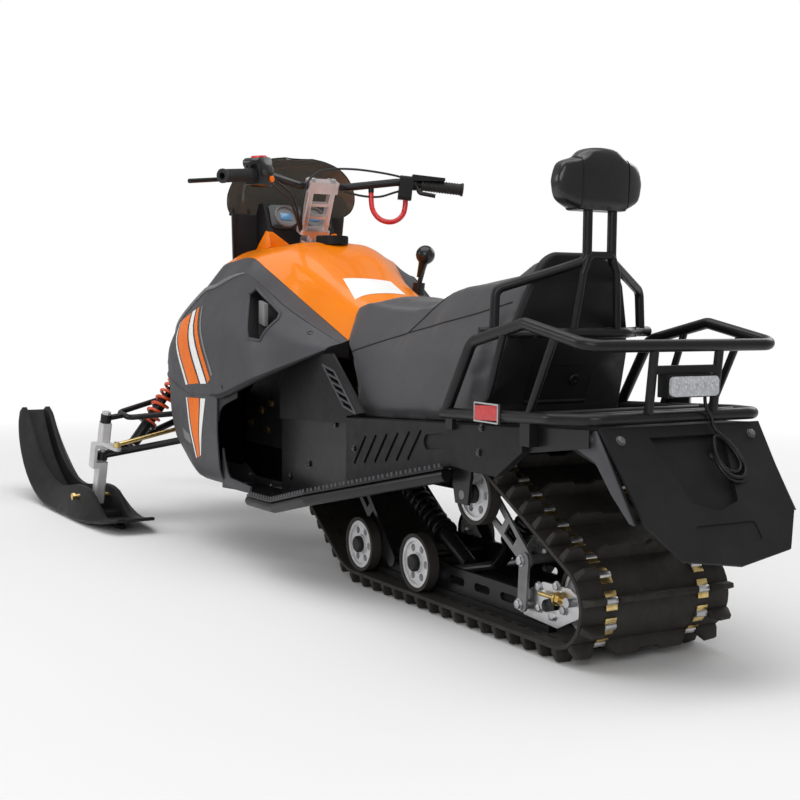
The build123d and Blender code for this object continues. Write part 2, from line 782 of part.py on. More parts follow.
# Windshield and dash
glass_wall = 4.0
lip_width = 16.0
cowl_rim_z = 955.0
cowl_lines = [
    (760.0, [(1594, 175), (1644, 152), (1696, 72)]),
    (cowl_rim_z, [(1580, 187), (1622, 140), (1648, 50)]),
]
glass_lines = [
    (cowl_rim_z + fit, lip_width, [(1572, 198), (1622, 146), (1652, 52)]),
    (1000.0, glass_wall, [(1556, 208), (1602, 140), (1628, 48)]),
    (1060.0, glass_wall, [(1542, 186), (1580, 120), (1600, 42)]),
    (1100.0, glass_wall, [(1526, 138), (1552, 88), (1564, 32)]),
    (1120.0, glass_wall, [(1512, 80), (1526, 54), (1532, 22)]),
]


def screen_ring(line, wall):
    left = [(axle_x + x, y) for x, y in line]
    outside = left + [(x, -y) for x, y in reversed(left)]
    return outside + inset(outside, wall)[::-1]


with BuildPart() as cowl:
    for z, line in cowl_lines:
        with BuildSketch(Plane.XY.offset(z)):
            with BuildLine():
                Polyline(*screen_ring(line, glass_wall), close=True)
            make_face()
    loft(ruled=True)
    add(skin_block(body_stations[split_row:split_row + 4]), mode=Mode.SUBTRACT)
save(cowl.part, "cowl")

with BuildPart() as windshield:
    for z, wall, line in glass_lines:
        with BuildSketch(Plane.XY.offset(z)):
            with BuildLine():
                Polyline(*screen_ring(line, wall), close=True)
            make_face()
    loft(ruled=True)
save(windshield.part, "windshield")

dash_half = 108.0
with BuildPart() as dash:
    add(plate([
        (axle_x + 1492, 855), (axle_x + 1540, 850.6), (axle_x + 1575, 834.2),
        (axle_x + 1575, 960), (axle_x + 1560, 985), (axle_x + 1532, 985), (axle_x + 1492, 905),
    ], -dash_half, 2 * dash_half))
save(dash.part, "dash")

cap_x = axle_x + 1302
cap_base = 862.0
with BuildPart() as fuel_cap:
    with BuildSketch(Plane.XY.offset(cap_base + fit)):
        with Locations((cap_x, 0)):
            Circle(44)
    extrude(amount=24)
save(fuel_cap.part, "fuel_cap")

# Seat: side outline from the rear axle, back line shared with the storage box
seat_gap = 0.4
back_line = [(200, 814), (198, 752), (216, 658)]
seat_front_x = 921.7
seat_top_line = [
    (seat_front_x, 622), (seat_front_x, 702), (870, 716), (770, 704), (660, 700), (565, 710),
    (478, 748), (430, 757), (280, 765), (232, 806),
]


def on_tunnel(station):
    return (station, tunnel_top(axle_x + station) + fit)


seat_outline = [on_tunnel(284), on_tunnel(815), *seat_top_line, *back_line]
width_line = [(192, 420), (172, 600), (124, 745), (74, 830)]


def trim_width(extra):
    with BuildPart() as trims:
        for side in (1, -1):
            with BuildSketch(Plane.YZ.offset(axle_x - 200)):
                with BuildLine():
                    Polyline(
                        *[(side * (y + extra), z) for y, z in width_line],
                        (side * 400, 830), (side * 400, 420), close=True,
                    )
                make_face()
            extrude(amount=1400)
    return trims.part


with BuildPart() as seat:
    add(plate([(axle_x + x, z) for x, z in seat_outline], -200, 400))
    add(trim_width(0), mode=Mode.SUBTRACT)
save(seat.part, "seat")

box_rear = [(184, 812), (179, 752), (198, 658), (264, 490), on_tunnel(266)]
box_outline = [(x - seat_gap, z) for x, z in back_line] + [(284 - seat_gap, on_tunnel(284)[1])]
box_outline += list(reversed(box_rear))
door_low, door_high, door_half = 494.0, 572.0, 82.0
door_play = 0.8
hinge_radius = 5.0


def box_face(z):
    return 264 - (z - 490) * (264 - 198) / (658 - 490)


with BuildPart() as seat_box:
    add(plate([(axle_x + x, z) for x, z in box_outline], -200, 400))
    add(trim_width(-2), mode=Mode.SUBTRACT)
    with BuildSketch(Plane.YZ.offset(axle_x + 150)):
        with Locations((0, (door_low + door_high) / 2)):
            Rectangle(2 * door_half + 2 * door_play, door_high - door_low + 2 * door_play)
    extrude(amount=150, mode=Mode.SUBTRACT)
    hinge_x = axle_x + box_face(door_low)
    barrel = hinge_radius + door_play
    add(cross_shaft(hinge_x, door_low, door_half + door_play, barrel), mode=Mode.SUBTRACT)
save(seat_box.part, "seat_box")

door_wall = 6.0
door_outline = [
    (box_face(door_low), door_low), (box_face(door_high), door_high),
    (box_face(door_high) + door_wall, door_high), (box_face(door_low) + door_wall, door_low),
]
with BuildPart() as box_door:
    add(plate([(axle_x + x, z) for x, z in door_outline], -door_half, 2 * door_half))
    add(cross_shaft(axle_x + box_face(door_low), door_low, door_half, hinge_radius))
save(box_door.part, "box_door")

# Passenger backrest
bar_z = 646.0
frame_tube = 11.0
bar_path = [(221, 225.4), (205, 182), (124, 84), (124, -84), (205, -182), (221, -225.4)]
head_low = 897.0
rail_path = [(211, 196, bar_z), (213, 192, 734), (116, 32, 795), (116, 32, head_low - fit)]
arch_path = [(124, 58, bar_z), (112, 44, 770), (112, 30, 806)]
with BuildPart() as backrest_frame:
    add(tube([(axle_x + x, y, bar_z) for x, y in bar_path], frame_tube, 40))
    arch = [(axle_x + x, y, z) for x, y, z in arch_path]
    add(tube(arch + [(x, -y, z) for x, y, z in reversed(arch)], frame_tube - 3, 14))
    for side in (1, -1):
        add(tube([(axle_x + x, side * y, z) for x, y, z in rail_path], frame_tube - 1, 22))
        add(plate([
            (axle_x + 152, bar_z - 10), (axle_x + 152, bar_z + 10),
            (axle_x + 197.2, bar_z + 10), (axle_x + 197.2, bar_z - 10),
        ], side * 120 - 14, 28))
save(backrest_frame.part, "backrest_frame")

head_half = [
    (0, head_low), (60, head_low), (102, head_low + 20), (112, head_low + 60), (98, head_low + 100),
    (58, head_low + 112), (38, head_low + 132), (0, head_low + 133),
]
head_depth = 80.0
with BuildPart() as headrest:
    with BuildSketch(Plane.YZ.offset(axle_x + 90)):
        with BuildLine():
            Polyline(*head_half, *[(-y, z) for y, z in reversed(head_half[1:-1])], close=True)
        make_face()
    extrude(amount=head_depth)
save(headrest.part, "headrest")

# Rear rack
rack_tube = 12.0
rack_play = 23.0
rack_y = tunnel_half + rack_play
base_path = [(333, rack_y, 471), (-40, rack_y, 489), (-140, rack_y - 38, 493)]
top_path = [(322, rack_y, 476), (229, rack_y, 626), (45, rack_y, 668), (-155, rack_y - 2, 630)]
rack_posts = [(180, 478, 114, 650), (30, 486, -53, 648)]
with BuildPart() as rear_rack:
    for path in (base_path, top_path):
        line = [(axle_x + x, y, z) for x, y, z in path]
        add(tube(line + [(x, -y, z) for x, y, z in reversed(line)], rack_tube, 40))
    for side in (1, -1):
        for low_x, low_z, high_x, high_z in rack_posts:
            add(rod((axle_x + low_x, side * rack_y, low_z), (axle_x + high_x, side * rack_y, high_z), 8))
        add(rod((axle_x - 140, side * 82, 493), (axle_x - 155, side * 82, 630), 9))
        low = tunnel_half + fit
        add(plate([(axle_x + 24, 428), (axle_x + 56, 428), (axle_x + 56, 486), (axle_x + 24, 486)],
                  min(side * low, side * rack_y), rack_y - low))
        low = tunnel_half + cover_depth + 2 * fit
        add(plate([(axle_x + 300, 438), (axle_x + 326, 438), (axle_x + 326, 472), (axle_x + 300, 472)],
                  min(side * low, side * rack_y), rack_y - low))
    for x, z in ((60, 485), (-48, 489)):
        add(rod((axle_x + x, -rack_y, z), (axle_x + x, rack_y, z), 9))
    add(plate([(axle_x - 156, 576), (axle_x - 142, 576), (axle_x - 142, 592), (axle_x - 156, 592)], -82, 164))
save(rear_rack.part, "rear_rack")

with BuildPart() as tail_lamp:
    add(plate([
        (axle_x - 172, 532), (axle_x - 142, 532), (axle_x - 142, 576 - fit), (axle_x - 172, 576 - fit),
    ], -62, 124))
save(tail_lamp.part, "tail_lamp")

with BuildPart() as tail_lens:
    with BuildSketch(Plane.YZ.offset(axle_x - 172 - fit - 7)):
        with Locations((0, 553.5)):
            RectangleRounded(120, 38, 10)
    extrude(amount=7)
save(tail_lens.part, "tail_lens")

with BuildPart() as reflectors:
    for y in (rack_y + rack_tube + fit, -rack_y - rack_tube - fit - 4):
        add(plate([(axle_x + 110, 473), (axle_x + 190, 469), (axle_x + 190, 499), (axle_x + 110, 503)], y, 4))
save(reflectors.part, "reflectors")

# Snow flap behind the tunnel
flap_top_x = axle_x - 140
flap_top_z = 474.0
flap_plane = Plane(origin=(flap_top_x, 0, flap_top_z), x_dir=(0, 1, 0), z_dir=(-0.816, 0, 0.577))
flap_width = tunnel_half - 14
flap_half = [(0, 0), (flap_width, 0), (flap_width - 15, 200), (flap_width - 67, 276), (0, 298)]
flap_wall = 6.0
chute_depth = 12.0
chute_wall = 6.0
chute_half = [(0, 16), (104, 16), (62, 176), (0, 196)]
plate_recess = (150.0, 40.0, 2.0)
wing_outline = [(-140, 466), (-18, 458), (-18, 442), (-150, 405), (-248, 312)]
wing_wall = 6.0


def both_sides(line):
    return line + [(-y, z) for y, z in reversed(line[1:-1])]


with BuildPart() as snow_flap:
    with BuildSketch(flap_plane):
        with BuildLine():
            Polyline(*both_sides(flap_half), close=True)
        make_face()
    extrude(amount=flap_wall)
    with BuildSketch(flap_plane.offset(-chute_depth)):
        with BuildLine():
            Polyline(*both_sides(chute_half), close=True)
        make_face()
    extrude(amount=chute_depth + 1)
    with BuildSketch(flap_plane.offset(chute_wall - chute_depth)):
        with BuildLine():
            Polyline(*both_sides([(y * 0.9, 24 + (z - 16) * 0.9) for y, z in chute_half]), close=True)
        make_face()
    extrude(amount=chute_depth + 10, mode=Mode.SUBTRACT)
    with BuildSketch(flap_plane.offset(flap_wall - plate_recess[2])):
        with Locations((0, 232)):
            RectangleRounded(plate_recess[0], plate_recess[1], 8)
    extrude(amount=10, mode=Mode.SUBTRACT)
    for y in (flap_width - 7, -flap_width + 7 - wing_wall):
        add(plate([(axle_x + x, z) for x, z in wing_outline], y, wing_wall))
    add(plate([
        (flap_top_x - 2, 462), (tunnel_rear_x - fit, 462), (tunnel_rear_x - fit, 474), (flap_top_x - 2, 474),
    ], -flap_width + 1, 2 * flap_width - 2))
save(snow_flap.part, "snow_flap")

lever_foot = (axle_x + 1190, -216.0, 732.0)
lever_knob = (axle_x + 1172, -232.0, 838.0)
knob_profile = [(0, -24), (12, -22), (20, -12), (22, 0), (20, 10), (13, 18), (0, 21)]
with BuildPart() as shift_lever:
    add(rod((lever_foot[0], lever_foot[1], lever_foot[2] - 20),
            (lever_foot[0] - 4, lever_foot[1] - 2, lever_foot[2] + 26), 17))
    add(skin_block(body_stations[:3]), mode=Mode.SUBTRACT)
    add(rod((lever_foot[0] - 3, lever_foot[1] - 2, lever_foot[2] + 20),
            (lever_knob[0], lever_knob[1], lever_knob[2] - 10), 7))
    with BuildSketch(Plane(origin=lever_knob, x_dir=(1, 0, 0), z_dir=(0, -1, 0))):
        with BuildLine():
            Polyline(*knob_profile, close=True)
        make_face()
    revolve(axis=Axis(lever_knob, (0, 0, 1)))
save(shift_lever.part, "shift_lever")

# Steering body
rise_x = -sin(radians(steer_rake))
rise_z = cos(radians(steer_rake))
bar_x = steer_x + rise_x * riser_height
bar_centre_z = steer_z + rise_z * riser_height
with BuildPart() as riser:
    with BuildSketch(steer_plane.offset(-110)):
        Circle(post_radius)
    extrude(amount=130)
    with BuildSketch(steer_plane.offset(8)):
        RectangleRounded(44, 92, 8)
    extrude(amount=14)
    with BuildSketch(steer_plane.offset(20)):
        with Locations((0, 34), (0, -34)):
            RectangleRounded(26, 16, 4)
    extrude(amount=riser_height - 30)
    for level in (54, 92):
        with BuildSketch(steer_plane.offset(level)):
            RectangleRounded(20, 62, 4)
        extrude(amount=9)
    with BuildSketch(steer_plane.offset(riser_height - 16)):
        RectangleRounded(40, 96, 8)
    extrude(amount=32)
    add(rod((bar_x, -60, bar_centre_z), (bar_x, 60, bar_centre_z), bar_radius + fit), mode=Mode.SUBTRACT)
save(riser.part, "riser")

bar_line = [(grip_x, grip_y, grip_z), (axle_x + 1292, 205, 1046), (bar_x, 72, bar_centre_z)]
grip_axis = (Vector(*bar_line[1]) - Vector(*bar_line[0])).normalized()


def along_bar(distance, side):
    spot = Vector(*bar_line[0]) + grip_axis * distance
    return (spot.X, side * spot.Y, spot.Z)


def beside_bar(distance, side, forward, up):
    spot = along_bar(distance, side)
    return (spot[0] + forward, spot[1], spot[2] + up)


def bar_block(start, end, side, depth, height, drop):
    with BuildPart() as block:
        centre = beside_bar(start, side, 0, -drop)
        span = Vector(*beside_bar(end, side, 0, -drop)) - Vector(*centre)
        with BuildSketch(Plane(origin=centre, x_dir=(span.Y, -span.X, 0), z_dir=span)):
            RectangleRounded(depth, height, 8)
        extrude(amount=span.length)
    return block.part


end_bore_radius = 8.0
end_bore_depth = 60.0
clip_spot = (axle_x + 1329, -140.0, 1037.6)
clip_drop = 22.0
with BuildPart() as handlebar:
    add(tube(bar_line + [(x, -y, z) for x, y, z in reversed(bar_line)], bar_radius, 40))
    add(rod(clip_spot, (clip_spot[0], clip_spot[1], clip_spot[2] - clip_drop), 8))
    for side in (1, -1):
        add(rod(along_bar(-1, side), along_bar(end_bore_depth, side), end_bore_radius), mode=Mode.SUBTRACT)
save(handlebar.part, "handlebar")

grip_length = 122.0
with BuildPart() as grips:
    for side in (1, -1):
        add(rod(along_bar(0, side), along_bar(grip_length, side), 16))
        add(rod(along_bar(0, side), along_bar(6, side), 19))
        add(rod(along_bar(grip_length - 6, side), along_bar(grip_length, side), 19))
    for side in (1, -1):
        add(rod(along_bar(-1, side), along_bar(grip_length + 1, side), bar_radius + fit), mode=Mode.SUBTRACT)
save(grips.part, "grips")

# Left switch block; right throttle block with its cover over the grip's inner end
switch_start = grip_length + 2
throttle_start = 148.0
throttle_end = 186.0
thumb_start = throttle_start - 12
throttle_drop = 14.0
throttle_height = 68.0
with BuildPart() as switch_blocks:
    add(bar_block(switch_start, switch_start + 42, 1, 50, 44, 2))
    add(bar_block(throttle_start, throttle_end, -1, 46, throttle_height, throttle_drop))
    cover_profile = [(56, 17), (throttle_start + 2, 8), (throttle_start + 2, 26), (56, 26)]
    bar_side = Plane(origin=along_bar(0, -1), x_dir=(grip_axis.X, -grip_axis.Y, grip_axis.Z), z_dir=(-grip_axis.Y, -grip_axis.X, 0))
    with BuildSketch(bar_side.offset(-22)):
        Polygon(*[(x, -z if bar_side.y_dir.Z < 0 else z) for x, z in cover_profile], align=None)
    extrude(amount=44)
    for start, end, side in ((switch_start, switch_start + 42, 1), (grip_length, throttle_end, -1)):
        add(rod(along_bar(start - 1, side), along_bar(end + 1, side), bar_radius + fit), mode=Mode.SUBTRACT)
    add(rod(along_bar(-1, -1), along_bar(grip_length + 1, -1), 19 + fit), mode=Mode.SUBTRACT)
    add(rod(along_bar(thumb_start - 1, -1), along_bar(thumb_start + 11, -1), 18 + fit), mode=Mode.SUBTRACT)
save(switch_blocks.part, "switch_blocks")

# Brake lever on the left, thumb throttle on the right
lever_start = switch_start + 43
lever_clamp = 18.0
lever_tip = (axle_x + 1250, 449.0, 1013.0)
with BuildPart() as levers:
    add(rod(along_bar(lever_start, 1), along_bar(lever_start + lever_clamp, 1), 19))
    pivot = along_bar(lever_start + lever_clamp / 2, 1)
    add(tube([pivot, (pivot[0] + 46, pivot[1] + 16, pivot[2] - 6), lever_tip], 6, 14))
    add(rod(along_bar(lever_start - 1, 1), along_bar(lever_start + lever_clamp + 1, 1), bar_radius + fit), mode=Mode.SUBTRACT)
    add(rod(along_bar(thumb_start, -1), along_bar(thumb_start + 10, -1), 18))
    add(tube([beside_bar(thumb_start + 5, -1, -12, -6), beside_bar(thumb_start + 2, -1, -22, -26),
              beside_bar(thumb_start - 42, -1, -26, -30)], 6, 10))
    add(rod(along_bar(thumb_start - 10, -1), along_bar(thumb_start + 11, -1), bar_radius + fit), mode=Mode.SUBTRACT)
save(levers.part, "levers")


# Cords: a run's corner radius is as large as its two neighbours allow
def corner_radii(points):
    radii = []
    for a, b, c in zip(points, points[1:], points[2:]):
        first, second = Vector(*b) - Vector(*a), Vector(*c) - Vector(*b)
        half_turn = radians(first.get_angle(second) / 2)
        radii.append(0.45 * min(first.length, second.length) * cos(half_turn) / sin(half_turn))
    return radii


def cord(points, radius, name):
    radii = corner_radii(points)
    with BuildPart() as run:
        with BuildLine() as path:
            FilletPolyline(*points, radius=radii)
        with BuildSketch(Plane(origin=path.line @ 0, z_dir=path.line % 0)):
            Circle(radius)
        sweep()
    even = sum(edge.length for edge in path.edges()) * pi * radius ** 2
    print(name, "radii", [round(r, 1) for r in radii], "volume", round(run.part.volume / even, 4))
    return run.part


tether_radius = 7.5
block_low = along_bar((throttle_start + throttle_end) / 2, -1)[2] - throttle_drop - throttle_height / 2
tether_start = beside_bar((throttle_start + throttle_end) / 2, -1, 0, 0)
tether_line = [
    (tether_start[0], tether_start[1], block_low - 1.2),
    (tether_start[0], tether_start[1], 966),
    (axle_x + 1280, -208, 940), (axle_x + 1289, -182, 929), (axle_x + 1304, -155, 937),
    (axle_x + 1320, -142, 960), (clip_spot[0], clip_spot[1], 988),
    (clip_spot[0], clip_spot[1], clip_spot[2] - clip_drop - fit),
]
save(cord(tether_line, tether_radius, "tether"), "tether")

lead_radius = 3.5
hank_top = 22.0
lead_end = flap_plane.from_local_coords(Vector(-67, hank_top - fit, flap_wall + 10))
lead_last = flap_plane.from_local_coords(Vector(-67, hank_top - 16, flap_wall + 10))
lead_line = [
    (axle_x - 157, -45, 532 - fit), (axle_x - 157, -45, 514), (axle_x - 161, -56, 496),
    tuple(lead_last), tuple(lead_end),
]
save(cord(lead_line, lead_radius, "lamp_lead"), "lamp_lead")

# Hank of the lamp lead, lying on the flap
hank_depth = 14.0
hank_outline = [
    (-58, hank_top), (-76, hank_top), (-104, 52), (-116, 88), (-108, 116), (-86, 134), (-56, 132), (-34, 112), (-26, 84), (-38, 48),
]
with BuildPart() as lead_hank:
    with BuildSketch(flap_plane.offset(flap_wall + fit)):
        with BuildLine():
            Polyline(*hank_outline, close=True)
        make_face()
    extrude(amount=hank_depth)
save(lead_hank.part, "lead_hank")

# Front suspension in the frame of the left kingpin
king_axis = (Vector(*king_top) - Vector(*king_foot)).normalized()
king_length = (Vector(*king_top) - Vector(*king_foot)).length
king_side = king_axis.cross(Vector(1, 0, 0)).normalized()
king_plane = Plane(origin=king_foot, x_dir=king_side.cross(king_axis), z_dir=king_axis)
eye_radius = 17.0
eye_height = 26.0
pin_radius = 8.0
lower_eye = king_length * 0.52
slot_low = eye_height / 2 + 6
slot_height = slot_low + eye_height / 2 + 14
tie_local = king_plane.to_local_coords(Vector(*tie_outer))
tie_pin = 5.0
leg_half_x, leg_half_y = 20.0, 16.0
upper_low = king_length - eye_height / 2

with BuildPart() as knuckle_left:
    with BuildSketch(king_plane.offset(-22)):
        RectangleRounded(2 * leg_half_x, 2 * leg_half_y, 6)
    extrude(amount=upper_low - fit + 22)
    with BuildSketch(king_plane.offset(lower_eye - 38)):
        with Locations((0, 10)):
            RectangleRounded(2 * leg_half_x, 2 * leg_half_y + 20, 6)
    extrude(amount=78)
    with BuildSketch(king_plane.offset(lower_eye - slot_low)):
        with Locations((0, -19)):
            Rectangle(80, 84)
    extrude(amount=slot_height, mode=Mode.SUBTRACT)
    with BuildSketch(king_plane.offset(lower_eye - slot_low)):
        Circle(pin_radius)
    extrude(amount=slot_height)
    with BuildSketch(king_plane.offset(upper_low - 4)):
        Circle(pin_radius)
    extrude(amount=eye_height + 8)
    with BuildSketch(king_plane.offset(upper_low + eye_height + fit)):
        RegularPolygon(14, 6)
    extrude(amount=9)
    with BuildSketch(king_plane.offset(tie_local.Z - 19)):
        with Locations((tie_local.X, tie_local.Y)):
            Circle(13)
        with Locations((-leg_half_x + 6, 0)):
            Circle(13)
        make_hull()
    extrude(amount=11)
    with BuildSketch(king_plane.offset(tie_local.Z - 10)):
        with Locations((tie_local.X, tie_local.Y)):
            Circle(tie_pin)
    extrude(amount=19)
    with BuildSketch(side_plane(king_foot[1] + 60)):
        with Locations((king_foot[0], king_foot[2])):
            Circle(pin_radius + fit)
    extrude(amount=120, mode=Mode.SUBTRACT)
save(knuckle_left.part, "knuckle_left")
with BuildPart() as knuckle_right:
    add(mirrored(knuckle_left.part))
save(knuckle_right.part, "knuckle_right")

with BuildPart() as tie_rod_left:
    with BuildSketch(king_plane.offset(tie_local.Z - 7)):
        with Locations((tie_local.X, tie_local.Y)):
            Circle(12)
    extrude(amount=14)
    add(rod(tie_outer, tie_inner, 7))
    with BuildSketch(king_plane.offset(tie_local.Z - 12)):
        with Locations((tie_local.X, tie_local.Y)):
            Circle(tie_pin + fit)
    extrude(amount=24, mode=Mode.SUBTRACT)
save(tie_rod_left.part, "tie_rod_left")
with BuildPart() as tie_rod_right:
    add(mirrored(tie_rod_left.part))
save(tie_rod_right.part, "tie_rod_right")

lower_spot = king_plane.from_local_coords(Vector(0, 0, lower_eye))
arm_pad = 9.0


def on_arm(centre, foot, y):
    share = (centre.Y - y) / (centre.Y - frame_half)
    return Vector(centre.X + (foot[0] - centre.X) * share, y, centre.Z + (foot[1] - centre.Z) * share)


def wishbone(centre, feet, radius, brace, loop):
    with BuildPart() as arms:
        if loop > 0:
            corners = [on_arm(centre, foot, centre.Y - loop) + Vector(shift, 0, 0) for foot, shift in zip(feet, (-26, 26))]
            ends = [(x, frame_half + arm_pad - 2, z) for x, z in feet]
            add(tube([ends[0], tuple(corners[0]), tuple(corners[1]), ends[1]], radius, 24))
            add(rod(tuple((corners[0] + corners[1]) * 0.5), tuple(centre), radius))
        for x, z in feet:
            if loop == 0:
                add(rod(tuple(centre), (x, frame_half + arm_pad, z), radius))
            add(plate([(x - 14, z - 14), (x + 14, z - 14), (x + 14, z + 14), (x - 14, z + 14)],
                      frame_half + fit, arm_pad))
        if brace > 0:
            add(rod(tuple(on_arm(centre, feet[0], brace)), tuple(on_arm(centre, feet[1], brace)), 8))
        spot = king_plane.to_local_coords(centre)
        with BuildSketch(king_plane.offset(spot.Z - eye_height / 2)):
            Circle(eye_radius)
        extrude(amount=eye_height)
        with BuildSketch(king_plane.offset(spot.Z - eye_height)):
            Circle(pin_radius + fit)
        extrude(amount=2 * eye_height, mode=Mode.SUBTRACT)
        mirror(about=Plane.XZ)
    return arms.part


upper_feet = [(axle_x + 1922, 348), (axle_x + 2142, 392)]
lower_feet = [(axle_x + 1905, 272), (axle_x + 2140, 304)]
shock_y = 330.0
save(wishbone(Vector(*king_top), upper_feet, 9, 0, 58), "upper_arms")
save(wishbone(lower_spot, lower_feet, 11, shock_y, 0), "lower_arms")

brace_ends = [on_arm(lower_spot, foot, shock_y) for foot in lower_feet]
shock_x = axle_x + 2050
brace_share = (shock_x - brace_ends[0].X) / (brace_ends[1].X - brace_ends[0].X)
shock_foot = brace_ends[0] + (brace_ends[1] - brace_ends[0]) * brace_share
shock_axis = Vector(0, -0.602, 0.7985)
shock_end = (shock_y - frame_half - fit - 14 * 0.7985) / 0.602
shock_steps = [(10.8, 172, 18), (160, shock_end - 10, 10), (shock_end - 16, shock_end, 14)]
shock_steps += [(88, 94, 31), (256, 262, 31)]
with BuildPart() as shocks:
    for start, end, radius in shock_steps:
        add(rod(tuple(shock_foot + shock_axis * start), tuple(shock_foot + shock_axis * end), radius))
    mirror(about=Plane.XZ)
    for piece in track_shock_parts:
        add(piece)
save(shocks.part, "shocks")

with BuildPart() as springs:
    coil_start = tuple(shock_foot + shock_axis * (94 + fit))
    coil_end = tuple(shock_foot + shock_axis * (256 - fit))
    add(coil(coil_start, coil_end, 18 + fit, 30, 7))
    mirror(about=Plane.XZ)
    for piece in track_coils:
        add(piece)
save(springs.part, "springs")

# Skis: distance from the tail, lift of the sole, half width, wall top and trough floor above the sole
sole = 8.0
ski_edge = 8.0
ski_tip_z = 288.0
flat_end = 540.0
tip_run = ski_length - flat_end
bend_radius = (tip_run ** 2 + (ski_tip_z - sole) ** 2) / (2 * (ski_tip_z - sole))
tip_angle = degrees(atan2(tip_run, bend_radius - (ski_tip_z - sole)))
ski_rows = [
    (0, 26, 46, 11, 9), (92, 11, 58, 12, 9), (128, 6, 84, 26, 10), (235, 0, ski_half, 88, 12),
    (345, 0, ski_half, 96, 12), (flat_end, 0, ski_half, 70, 12),
]
upturn_rows = [
    (0.16, 91, 66, 12), (0.33, 89, 64, 12), (0.5, 86, 63, 12), (0.66, 81, 64, 12),
    (0.8, 74, 66, 12), (0.92, 64, 60, 12), (1.0, 52, 34, 12),
]
ski_sections = [(ski_tail_x + run, sole + lift, 0.0, half, top, low) for run, lift, half, top, low in ski_rows]
for share, half, top, low in upturn_rows:
    turn = radians(tip_angle * share)
    x = ski_tail_x + flat_end + bend_radius * sin(turn)
    z = sole + bend_radius * (1 - cos(turn))
    ski_sections.append((x, z, turn, half, top, low))
wall_in, wall_out = 32.0, 50.0
with BuildPart() as ski_left:
    for x, z, turn, half, top, low in ski_sections:
        right = [(half, 0), (half, ski_edge), (min(wall_out, half - 2), top), (wall_in + 2, top), (wall_in, low)]
        ring = [(-y, h) for y, h in right] + right[::-1]
        with BuildSketch(Plane(origin=(x, ski_y, z), x_dir=(0, 1, 0), z_dir=(cos(turn), 0, sin(turn)))):
            with BuildLine():
                Polyline(*ring, close=True)
            make_face()
    loft(ruled=True)
    for run in (168, 204, 420):
        x = ski_tail_x + run
        add(plate([(x - 3, sole + 4), (x + 3, sole + 4), (x + 3, sole + 34), (x - 3, sole + 34)],
                  ski_y - wall_in - 3, 2 * wall_in + 6))
    with BuildSketch(Plane.XY):
        with Locations((ski_tail_x + 300, ski_y)):
            Rectangle(480, 18)
    extrude(amount=sole + 6)
    add(rod((king_foot[0], ski_y - 70, king_foot[2]), (king_foot[0], ski_y + 84, king_foot[2]), pin_radius))
    add(rod((king_foot[0], ski_y + 74, king_foot[2]), (king_foot[0], ski_y + 84, king_foot[2]), 13))
save(ski_left.part, "ski_left")
with BuildPart() as ski_right:
    add(mirrored(ski_left.part))
save(ski_right.part, "ski_right")
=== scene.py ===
from math import cos, pi, radians, sin, sqrt

import bmesh
import bpy
from mathutils import Matrix, Vector
from mathutils.bvhtree import BVHTree


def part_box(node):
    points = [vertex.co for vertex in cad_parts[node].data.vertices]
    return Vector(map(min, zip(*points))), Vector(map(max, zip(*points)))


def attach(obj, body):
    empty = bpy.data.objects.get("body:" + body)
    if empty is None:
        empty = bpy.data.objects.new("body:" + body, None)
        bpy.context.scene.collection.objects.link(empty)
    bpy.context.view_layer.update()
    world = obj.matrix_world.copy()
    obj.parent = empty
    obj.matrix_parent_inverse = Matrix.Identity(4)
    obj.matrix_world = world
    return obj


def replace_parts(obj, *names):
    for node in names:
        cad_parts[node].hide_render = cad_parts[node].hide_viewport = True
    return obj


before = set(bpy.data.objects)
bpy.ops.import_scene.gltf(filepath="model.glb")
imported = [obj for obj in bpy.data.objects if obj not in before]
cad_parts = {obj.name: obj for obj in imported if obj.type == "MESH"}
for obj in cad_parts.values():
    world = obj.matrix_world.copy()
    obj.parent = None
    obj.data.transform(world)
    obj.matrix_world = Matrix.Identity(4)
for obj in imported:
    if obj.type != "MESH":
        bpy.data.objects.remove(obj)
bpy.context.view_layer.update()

print("frame loaded:", len(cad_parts), "nodes")

axleX = -1.2575  # rear axle, from the part's origin


def fromAxle(x, y, z):  # millimetres from the rear axle's middle, at floor height
    return Vector((axleX + x / 1000, y / 1000, z / 1000))


cameraSettings = {
    "place": (-3.33817, 1.77723, 0.71557),
    "yaw": -30.6535, "pitch": -4.3571, "roll": 0.5678,
    "lens": 60.569, "sensor": 36, "reach": 60,
}


def makeCamera(s):
    yaw, pitch, roll = (radians(s[k]) for k in ("yaw", "pitch", "roll"))
    ahead = Vector((cos(yaw) * cos(pitch), sin(yaw) * cos(pitch), sin(pitch)))
    right = ahead.cross(Vector((0, 0, 1))).normalized()
    up = right.cross(ahead)
    rolledRight = right * cos(roll) + up * sin(roll)
    rolledUp = up * cos(roll) - right * sin(roll)
    data = bpy.data.cameras.new("photoCamera")
    data.lens = s["lens"]
    data.sensor_width = s["sensor"]
    data.clip_end = s["reach"]
    camera = bpy.data.objects.new("photoCamera", data)
    bpy.context.scene.collection.objects.link(camera)
    turn = Matrix((rolledRight, rolledUp, -ahead)).transposed().to_4x4()
    camera.matrix_world = Matrix.Translation(Vector(s["place"])) @ turn
    bpy.context.scene.camera = camera


makeCamera(cameraSettings)
print("camera placed")


def newMaterial(name):
    mat = bpy.data.materials.new(name)
    mat.use_nodes = True
    nodes, links = mat.node_tree.nodes, mat.node_tree.links
    return mat, nodes, links, nodes["Principled BSDF"]


def addNode(nodes, kind, **values):
    node = nodes.new(kind)
    for key, value in values.items():
        if key in node.inputs:
            node.inputs[key].default_value = value
        else:
            setattr(node, key, value)
    return node


def setInputs(node, values):
    for key, value in values.items():
        node.inputs[key].default_value = value


